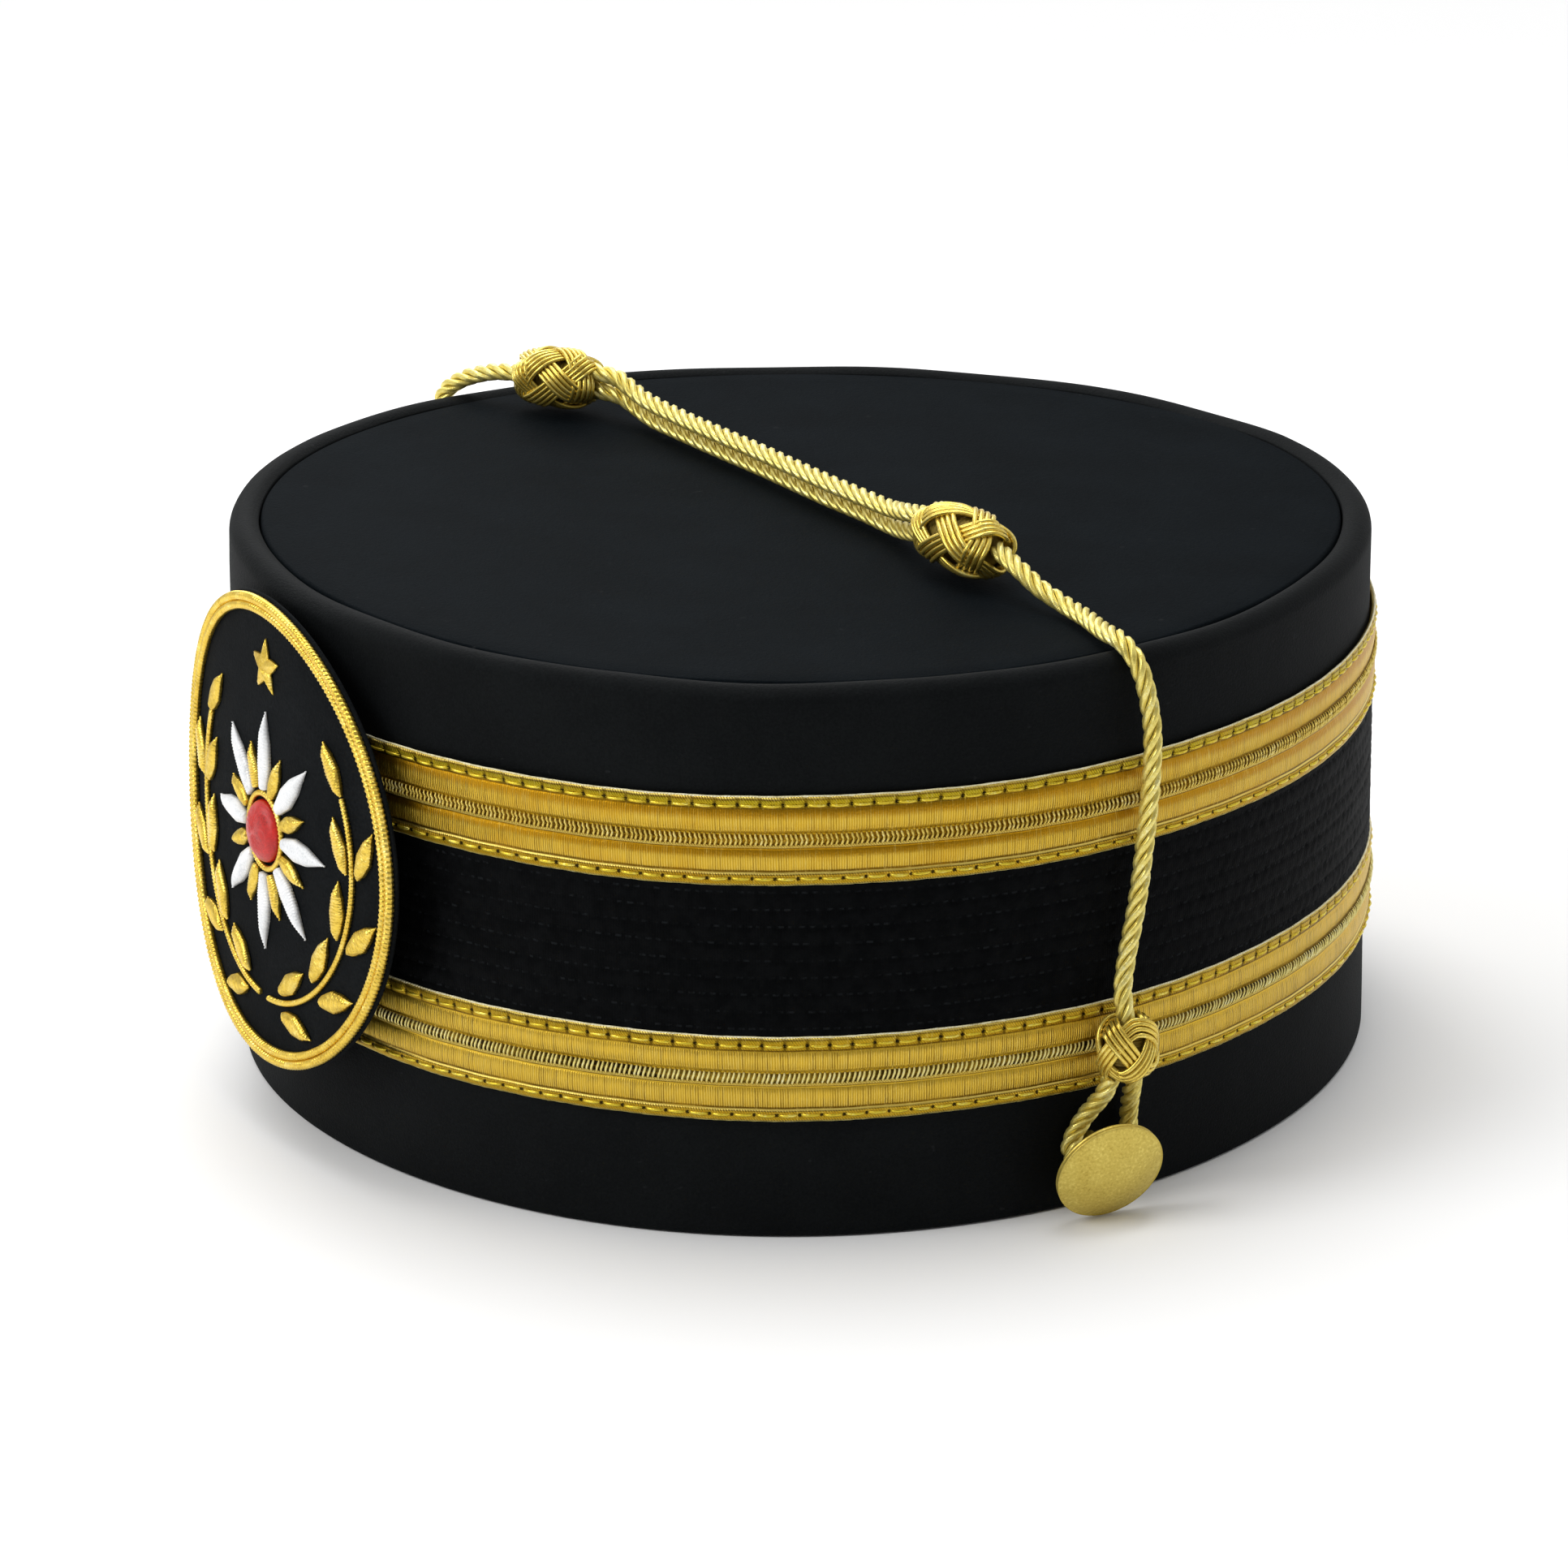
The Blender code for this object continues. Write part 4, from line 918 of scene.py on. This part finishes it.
def quiltMaterial():
    # fine ribs and grain in black, with a faint thread on each stitch painted a paler grey as a painted
    # highlight
    material, nodes, links, shader = newMaterial("quilted ribbon")
    along, across = uvPlace(nodes, links)
    place = nodes.new("ShaderNodeTexCoord").outputs["Object"]

    def calc(operation, *values):
        return maths(nodes, links, operation, *values)

    ribs = calc("SINE", calc("MULTIPLY", along, 2 * math.pi / quilt["rib"]))
    grain = noise(nodes, links, place, 2300, 3.0, 0.6)
    patch = noise(nodes, links, place, 420, 3.0, 0.6)
    # the stitches: narrow dashes on each row, shifted a little from row to row
    start = quilt["wide"] / 2 - quilt["rows"] / 2 * quilt["spacing"]
    row = calc("DIVIDE", calc("SUBTRACT", across, start), quilt["spacing"])
    level = calc("ABSOLUTE", calc("SUBTRACT", calc("FRACT", row), 0.5))
    phase = calc("ADD", calc("DIVIDE", along, quilt["stitch"]),
                 calc("MULTIPLY", calc("FLOOR", row), quilt["shift"]))
    dash = calc("ABSOLUTE", calc("SUBTRACT", calc("FRACT", phase), 0.5))
    thread = calc("MULTIPLY", ramp(nodes, links, level, [(0.045, 1.0), (0.085, 0.0)]),
                  ramp(nodes, links, dash, [(0.26, 1.0), (0.36, 0.0)]))
    thread = calc("MULTIPLY", thread, ramp(nodes, links, noise(nodes, links, place, 800, 2.0, 0.5),
                                           [(0.42, 0.05), (0.68, 1.0)]))
    colour = ramp(nodes, links, patch, [(0.35, (0.0016, 0.0016, 0.0017)),
                                        (0.70, (0.0032, 0.0033, 0.0035))])
    # painted highlight: the stitch threads are mixed towards a paler grey
    links.new(mixColour(nodes, links, thread, colour, (0.0095, 0.0105, 0.0115)),
              shader.inputs["Base Color"])
    shader.inputs["Roughness"].default_value = 0.58
    shader.inputs["Specular IOR Level"].default_value = 0.030
    shader.inputs["Specular Tint"].default_value = (0.75, 0.88, 0.96, 1.0)
    height = calc("ADD", weighted(nodes, links, ribs, 0.10, thread, 0.9), grain)
    links.new(addBump(nodes, links, height, 0.00010, 0.8), shader.inputs["Normal"])
    return material


def quiltedBand():
    # a padded ribbon: each row of stitches is a groove with a small dent at every hole
    base, wide = quilt["base"], quilt["wide"]
    length = np.linspace(0, girth, quilt["columns"] + 1)
    across = np.linspace(0, wide, 66)
    middle = wide / 2
    rowPlace = (np.arange(quilt["rows"]) - (quilt["rows"] - 1) / 2) * quilt["spacing"] + middle
    along = length[:-1, None]
    height = np.full((len(along), len(across)), 0.72)
    pucker = 0.05 * np.sin(along * 2.3 + 1.7 * np.sin(across * 1.3)) \
        + 0.035 * np.sin(along * 4.9 + across * 2.0)
    height = height + pucker
    for k, place in enumerate(rowPlace):
        wander = place + 0.04 * np.sin(along * 0.17 + k * 1.9)
        phase = (along / quilt["stitch"] + quilt["shift"] * k) % 1.0
        hole = np.exp(-(np.minimum(phase, 1 - phase) * quilt["stitch"] / 0.32) ** 2)
        height = height - (0.16 + 0.16 * hole) * bump(across, wander, 0.42)
        height = height + 0.07 * (1 - hole) * bump(across, wander, 0.15)
    height = np.clip(height, 0.33, 0.98)
    turn = turnAt(along)
    back = oval(turn, np.full(2, -quilt["back"]), base + np.array([wide, 0.0]))
    points = np.concatenate([oval(turn, -height, base + across), back], 1)
    quads, corners = gridFaces(len(turn), points.shape[1], True, True, length,
                               np.concatenate([across, [wide, 0.0, 0.0]]))
    addPiece("quiltedBand", points, [quads], [corners], quiltMaterial(), "quilt", ["quilted_band"])


quiltedBand()
print("quilted band done")

# badge: felt disc bent round the front, wire borders, rays, leaves, boss and star

badge = dict(radius=39.5, thickness=2.6, centre=51.3, bend=167.0, lean=math.radians(2.7),
             turn=math.radians(0.8), margin=1.3, border=0.6, pad=1.2, stem=0.5,
             laceEdge=1.2, rest=73.4, sink=0.45, outerWire=38.45, outerSize=0.74, innerWire=37.0,
             innerSize=0.70, tilt=math.radians(2.0), raised=0.3, aside=-0.4,
             bossRadius=0.148, bossHeight=2.1, bossRing=0.178, branchRing=0.805,
             starRadius=0.140, starPlace=0.790, starWaist=0.45, ripple=0.13, satinRidge=0.075)
badge["outer"] = badge["radius"] - badge["margin"] - badge["border"]
badge["inner"] = badge["outer"] - 2 * badge["border"] - cap["gap"]
badge["free"] = badge["inner"] - badge["border"] - cap["gap"]
badge["seat"] = cap["gap"] * 0.5
badgeFront = (cap["halfDepth"] + badge["laceEdge"] + 2 * cap["gap"] + badge["thickness"]
              + (badge["rest"] - badge["centre"]) * math.tan(badge["lean"]))


def onBadge(across, up, out):
    # a place on the badge's face, bent about an upright line, leant in and turned a little; it
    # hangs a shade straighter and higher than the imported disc
    angle = across / badge["bend"]
    x = (badge["bend"] + out) * np.sin(angle)
    y = badge["bend"] - (badge["bend"] + out) * np.cos(angle)
    c, s = math.cos(-badge["tilt"]), math.sin(-badge["tilt"])
    y, z = y * c - up * s, y * s + up * c
    c, s = math.cos(-badge["turn"]), math.sin(-badge["turn"])
    x, y = x * c - y * s, x * s + y * c
    return np.stack(np.broadcast_arrays(x + badge["aside"], y - badgeFront + badge["sink"],
                                        z + badge["centre"] + badge["raised"]), -1)


def badgeFelt():
    # a disc with a thin rounded edge; the stiffening behind it stands back from the edge
    t = badge["thickness"] - badge["sink"]
    edge = np.linspace(0, np.pi, 9)
    ring = np.concatenate([np.linspace(1.0, badge["radius"] - 0.5, 40),
                           badge["radius"] - 0.4 + 0.4 * np.sin(edge),
                           badge["radius"] - np.array([1.5, 2.6, 2.9, 3.2]),
                           np.linspace(badge["radius"] - 5, 2, 8)])
    out = np.concatenate([np.zeros(40), -0.4 + 0.4 * np.cos(edge), [-0.85, -0.95, -1.2, -t + 0.2],
                          np.full(8, -t)])
    turn = np.linspace(0, 2 * np.pi, 130, endpoint=False)[:, None]
    quiet = np.clip((out > -0.1) * (ring < badge["radius"] - 1), 0, 1)
    dent = 0.06 * np.sin(ring * 0.9 + 3 * turn) * np.sin(2 * turn + ring * 0.2) * quiet
    points = onBadge(ring * np.cos(turn), ring * np.sin(turn), out + dent)
    poles = [onBadge(0.0, 0.0, 0.0), onBadge(0.0, 0.0, -t)]
    addPiece("badgeFelt", *closedGrid(points, poles, 240, 80, True), felt, "badge_cloth",
             ["badge_base"])


def addWire(name, node, radius, start, end, wire, pitch, steps=5):
    # a wire of tight turns laid on the badge along a circle: its size ripples with each turn
    whole = end - start >= 359.9
    length = math.radians(end - start) * radius
    count = int(length / pitch) * steps
    turn = np.radians(np.linspace(start, end, count, endpoint=not whole))
    path = onBadge(radius * np.cos(turn), radius * np.sin(turn), wire * 0.8 + 0 * turn)
    facing = unit(onBadge(radius * np.cos(turn), radius * np.sin(turn), 5.0 + 0 * turn) - path)
    phase = np.arange(count) * 2 * np.pi / steps

    def ripple(angle):
        # the wire's outline is a little off centre, and turns with the winding
        return 1 + badge["ripple"] * np.cos(angle)

    size = np.full((1, count), wire)
    addPiece(name, *tubes(path[None], facing[None], size, size, closed=whole, sides=9,
                          spin=phase[None], ripple=ripple), wireGold, "gold_wire", [node])


def satinPad(foot, turn, length, halfWidth, table, height, pitch, slant):
    # a domed pad of threads laid across it: its half width follows the table, its section is
    # a low arch on a flat foot, and fine ridges follow each thread
    steps = int(length / pitch) * 5
    s = np.linspace(0, 1, steps)
    width = np.interp(s, [row[0] for row in table], [row[1] for row in table]) * halfWidth
    kernel = np.hanning(max(5, steps // 9) | 1)
    padded = np.pad(width, len(kernel) // 2, mode="reflect", reflect_type="odd")
    width = np.maximum(np.convolve(padded, kernel / kernel.sum(), "valid"), 0.12)
    angle = np.linspace(0, -2 * np.pi, 14, endpoint=False)
    t = np.cos(angle)[None]
    arch = np.maximum(np.sin(angle), 0)[None] ** 0.75
    dome = height * np.minimum(1, (width / (0.55 * halfWidth))[:, None]) ** 0.6
    phase = (s * length)[:, None] / pitch + slant * np.abs(t) * width[:, None] / pitch
    ridge = badge["satinRidge"] * np.cos(2 * np.pi * phase) * (arch > 0.15)
    along = (s * length)[:, None] + 0 * t
    across = width[:, None] * t * (1 + 0.03 * np.cos(2 * np.pi * phase))
    out = badge["seat"] + arch * (dome + ridge)
    c, d = math.cos(turn), math.sin(turn)
    points = onBadge(foot[0] + along * c - across * d, foot[1] + along * d + across * c, out)
    n, sides = points.shape[:2]
    quads, corners = gridFaces(n, sides, False, True, s * length, np.linspace(0, 2, sides + 1))
    poles = points[[0, -1]].mean(1)
    first, firstUv = fanFaces(np.arange(sides), n * sides, False)
    last, lastUv = fanFaces((n - 1) * sides + np.arange(sides), n * sides + 1, True)
    return (np.concatenate([points.reshape(-1, 3), poles]),
            [quads, first, last], [corners, firstUv, lastUv])


rayShape = [(0.0, 0.50), (0.05, 0.60), (0.30, 1.0), (0.60, 0.80), (1.0, 0.0)]
leafShape = [(0.0, 0.12), (0.16, 0.62), (0.45, 1.0), (0.75, 0.66), (1.0, 0.0)]


def circlePoint(radius, degrees):
    # a place on a circle
    return radius * math.cos(math.radians(degrees)), radius * math.sin(math.radians(degrees))


def addRays():
    # eight silver rays with eight short gold ones between them, at even turns
    free = badge["free"]
    for kind, first, start, length, half, material, slotName in (
            ("silver", 0.0, 0.205, 0.370, 0.057, silverThread, "silver_thread"),
            ("gold", 22.5, 0.205, 0.215, 0.043, wireGold, "gold_wire")):
        for k in range(8):
            degrees = first + 45 * k
            pad = satinPad(circlePoint(start * free, degrees), math.radians(degrees),
                           length * free, half * free, rayShape, badge["pad"], 0.50, 0.7)
            addPiece(f"{kind}Ray{k + 1}", *pad, material, slotName, [f"{kind}_ray_{k + 1}"])


def addBranches():
    # a stem along a circle on each side, with leaves in pairs beside it and one at its end
    free = badge["free"]
    ring = badge["branchRing"] * free
    clear = badge["stem"] + cap["gap"]
    past = 27 + math.degrees(cap["gap"] / ring)
    # place along the ring and tilt in degrees, length and half width as shares
    pairs = [(-77, 24, 0.270, 0.054), (-51, 24, 0.285, 0.056), (-25, 24, 0.285, 0.056),
             (1, 24, 0.270, 0.052)]
    for sideName, mirror in (("left", 1), ("right", -1)):
        leaves = [(place, place - outward * tilt, outward * (clear + 0.45 * half * free), length,
                   half) for place, tilt, length, half in pairs for outward in (1, -1)]
        leaves.append((past, 35, 0.0, 0.27, 0.052))
        for k, (place, degrees, spread, length, half) in enumerate(leaves):
            pad = satinPad(circlePoint(ring + spread, 90 + mirror * (place - 90)),
                           math.radians(90 + mirror * degrees), length * free, half * free,
                           leafShape, badge["pad"], 0.55, 0.6)
            addPiece(f"{sideName}Leaf{k + 1}", *pad, wireGold, "gold_wire",
                     [f"{sideName}_leaf_{k + 1}"])
        turns = sorted((90 + mirror * (-86.5 - 90), 90 + mirror * (27 - 90)))
        addWire(sideName + "Stem", sideName + "_stem", ring, *turns, badge["stem"], 0.62)


def badgeBoss():
    # a low dome of red threads
    radius, peak = badge["bossRadius"] * badge["free"], badge["bossHeight"] * badge["pad"]
    turn = np.linspace(0, 2 * np.pi, 72, endpoint=False)[:, None]
    level = np.linspace(0, np.pi / 2, 20)[:-1]
    ring = radius * np.cos(level) ** 0.8
    x = ring * np.cos(turn)
    thread = 0.05 * np.cos(2 * np.pi * x / 0.42) * (level > 0.1)
    points = onBadge(x, ring * np.sin(turn), badge["seat"] + peak * np.sin(level) + thread)
    poles = [onBadge(0.0, 0.0, badge["seat"]), onBadge(0.0, 0.0, badge["seat"] + peak)]
    addPiece("badgeBoss", *closedGrid(points, poles, 30, 6), redSilk, "red_silk", ["badge_boss"])


def badgeStar():
    # five points: the outline's reach rises and falls five times, the middle is raised
    turn = np.linspace(0, 2 * np.pi, 120, endpoint=False)
    saw = np.abs(((turn / (2 * np.pi) * 5) % 1.0) - 0.5) * 2
    reach = badge["starRadius"] * badge["free"] / (1 + (1 - saw) * (1 / badge["starWaist"] - 1))
    share = np.linspace(1, 0, 16)[:-1]
    out = reach[:, None] * share
    x, y = out * np.cos(turn)[:, None], out * np.sin(turn)[:, None]
    rise = badge["pad"] * (1 - share) ** 0.5 + 0.05 * np.cos(2 * np.pi * out / 0.45) * (share < 0.98)
    centre = circlePoint(badge["starPlace"] * badge["free"], 90)
    points = onBadge(centre[0] - y, centre[1] + x, badge["seat"] + rise)
    poles = [onBadge(*centre, badge["seat"]), onBadge(*centre, badge["seat"] + badge["pad"])]
    addPiece("badgeStar", *closedGrid(points, poles, 30, 6), wireGold, "gold_wire", ["badge_star"])


badgeFelt()
addWire("badgeBorderOuter", "badge_border_outer", badge["outerWire"], 0, 360,
        badge["outerSize"], 0.85)
addWire("badgeBorderInner", "badge_border_inner", badge["innerWire"], 0, 360,
        badge["innerSize"], 0.85)
addWire("badgeBossRing", "badge_boss_ring", badge["bossRing"] * badge["free"], 0, 360,
        badge["stem"], 0.7)
addRays()
addBranches()
badgeBoss()
badgeStar()
print("badge done")

# buttons: domed, matt pale gilt, on shanks

button = dict(radius=9.1, dome=1.7, rim=1.3, floor=8.75, stand=9.2, along=-3.9, shank=1.2,
              droop=(0.935, -0.090, -0.343))


def buttonMaterial():
    # matt gilt with a fine grain and faint patches
    material, nodes, links, shader = newMaterial("pale gilt")
    place = nodes.new("ShaderNodeTexCoord").outputs["Object"]
    grain = noise(nodes, links, place, 2200, 3.0, 0.6)
    patch = noise(nodes, links, place, 220, 2.0, 0.5)
    tone = weighted(nodes, links, grain, 0.75, patch, 0.25)
    links.new(ramp(nodes, links, tone, [(0.30, (0.52, 0.37, 0.060)), (0.50, (0.66, 0.51, 0.105)),
                                        (0.70, (0.80, 0.66, 0.17))]), shader.inputs["Base Color"])
    shader.inputs["Metallic"].default_value = 0.75
    shader.inputs["Roughness"].default_value = 0.44
    links.new(addBump(nodes, links, grain, 0.00006, 0.7), shader.inputs["Normal"])
    return material


def wallReach(along):
    # how far out the wall is at a place along the cap
    turn = math.acos(-along / cap["halfDepth"])
    return float(oval(np.array(turn), 0.0, 0.0)[0])


def turnedButton(name, node, sideSign, material):
    # rows of place along the axis and radius, spun round the axis, which leans by the droop
    droop = unit(np.array(button["droop"]))
    foot = (button["stand"] - cap["gap"]) / droop[0] - button["shank"] * abs(droop[2])
    face = np.linspace(0.02, 1, 26)
    domed = button["dome"] * (1 - face ** 2.3)
    r, rim, shank = button["radius"], button["rim"], button["shank"]
    rows = [(d, f * (r - 0.15)) for d, f in zip(domed, face)]
    rows += [(0.10, r - 0.02), (-0.10, r), (-0.45, r - 0.03), (-0.70, r - 0.18), (-0.80, r - 0.10),
             (-1.05, r - 0.12), (-rim, 0.93 * r), (-rim, 0.90 * r), (-rim + 0.15, 0.80 * r),
             (-rim + 0.15, 0.30 * r), (-rim, 0.22 * r), (-rim - 0.5, shank * 1.15),
             (-rim - 1.0, shank), (-foot + 0.3, shank), (-foot, shank - 0.25)]
    along, ring = np.array(rows).T
    axis = droop * np.array([sideSign, 1, 1])
    acrossAxis = unit(np.cross((0, 0, 1.0), axis))
    upAxis = np.cross(axis, acrossAxis)
    centre = np.array([sideSign * (wallReach(button["along"]) + button["stand"]),
                       button["along"], button["floor"]])
    turn = np.linspace(0, 2 * np.pi, 96, endpoint=False)[:, None, None]
    points = (centre + along[None, :, None] * axis
              + ring[None, :, None] * (np.cos(turn) * acrossAxis + np.sin(turn) * upAxis))
    poles = [centre + button["dome"] * axis, centre - foot * axis]
    addPiece(name, *closedGrid(points, poles, 57, 20, True), material, "gilt", [node])


gilt = buttonMaterial()
turnedButton("leftButton", "left_button", 1, gilt)
turnedButton("rightButton", "right_button", -1, gilt)
print("buttons done")

# floor, lights and background

studio = dict(floor=4.0, sky=(1.0, 1.0, 1.0), darkSky=(0.34, 0.34, 0.34), skyStrength=0.75,
              darkSide=(0.86, -0.48, 0.12),
              sun=1.40, sunFrom=(-0.25, 0.10, 1.0), sunWidth=40,
              leftPlace=(-0.02, -0.84, 0.68), leftSize=0.5, leftPower=4.5,
              backPlace=(-0.36, 0.05, 0.34), backSize=0.25, backPower=0.65)
floorMesh = bpy.data.meshes.new("floor")
half = studio["floor"]
floorMesh.from_pydata([(-half, -half, 0), (half, -half, 0), (half, half, 0), (-half, half, 0)],
                      [], [(0, 1, 2, 3)])
floor = bpy.data.objects.new("floor", floorMesh)
bpy.context.collection.objects.link(floor)
floor.location.z = -0.0002
floorLook, _, _, floorShader = newMaterial("pale floor")
floorShader.inputs["Base Color"].default_value = (0.90, 0.90, 0.90, 1.0)
floorShader.inputs["Roughness"].default_value = 0.9
floorShader.inputs["Specular IOR Level"].default_value = 0.1
floorMesh.materials.append(floorLook)

world = bpy.data.worlds.new("studio")
bpy.context.scene.world = world
world.use_nodes = True
skyNodes, skyLinks = world.node_tree.nodes, world.node_tree.links
turned = skyNodes.new("ShaderNodeVectorMath")
turned.operation = "DOT_PRODUCT"
turned.inputs[1].default_value = studio["darkSide"]
skyLinks.new(skyNodes.new("ShaderNodeTexCoord").outputs["Generated"], turned.inputs[0])
skyLinks.new(ramp(skyNodes, skyLinks, turned.outputs["Value"],
                  [(0.10, studio["sky"]), (0.80, studio["darkSky"])]),
             skyNodes["Background"].inputs["Color"])
skyNodes["Background"].inputs["Strength"].default_value = studio["skyStrength"]


def addLight(name, kind, place, power, width):
    # a lamp at a place, turned towards the cap
    light = bpy.data.lights.new(name, kind)
    light.energy = power
    if kind == "SUN":
        light.angle = math.radians(width)
    else:
        light.size = width
    lamp = bpy.data.objects.new(name, light)
    bpy.context.collection.objects.link(lamp)
    towards = Vector((0, 0, 0.05)) - Vector(place)
    lamp.rotation_euler = towards.to_track_quat("-Z", "Y").to_euler()
    lamp.location = place
    lamp.visible_camera = False


addLight("overheadLight", "SUN", studio["sunFrom"], studio["sun"], studio["sunWidth"])
addLight("leftLight", "AREA", studio["leftPlace"], studio["leftPower"], studio["leftSize"])
addLight("backLight", "AREA", studio["backPlace"], studio["backPower"], studio["backSize"])
print("floor and lights done")

bpy.context.scene.view_settings.view_transform = "Standard"
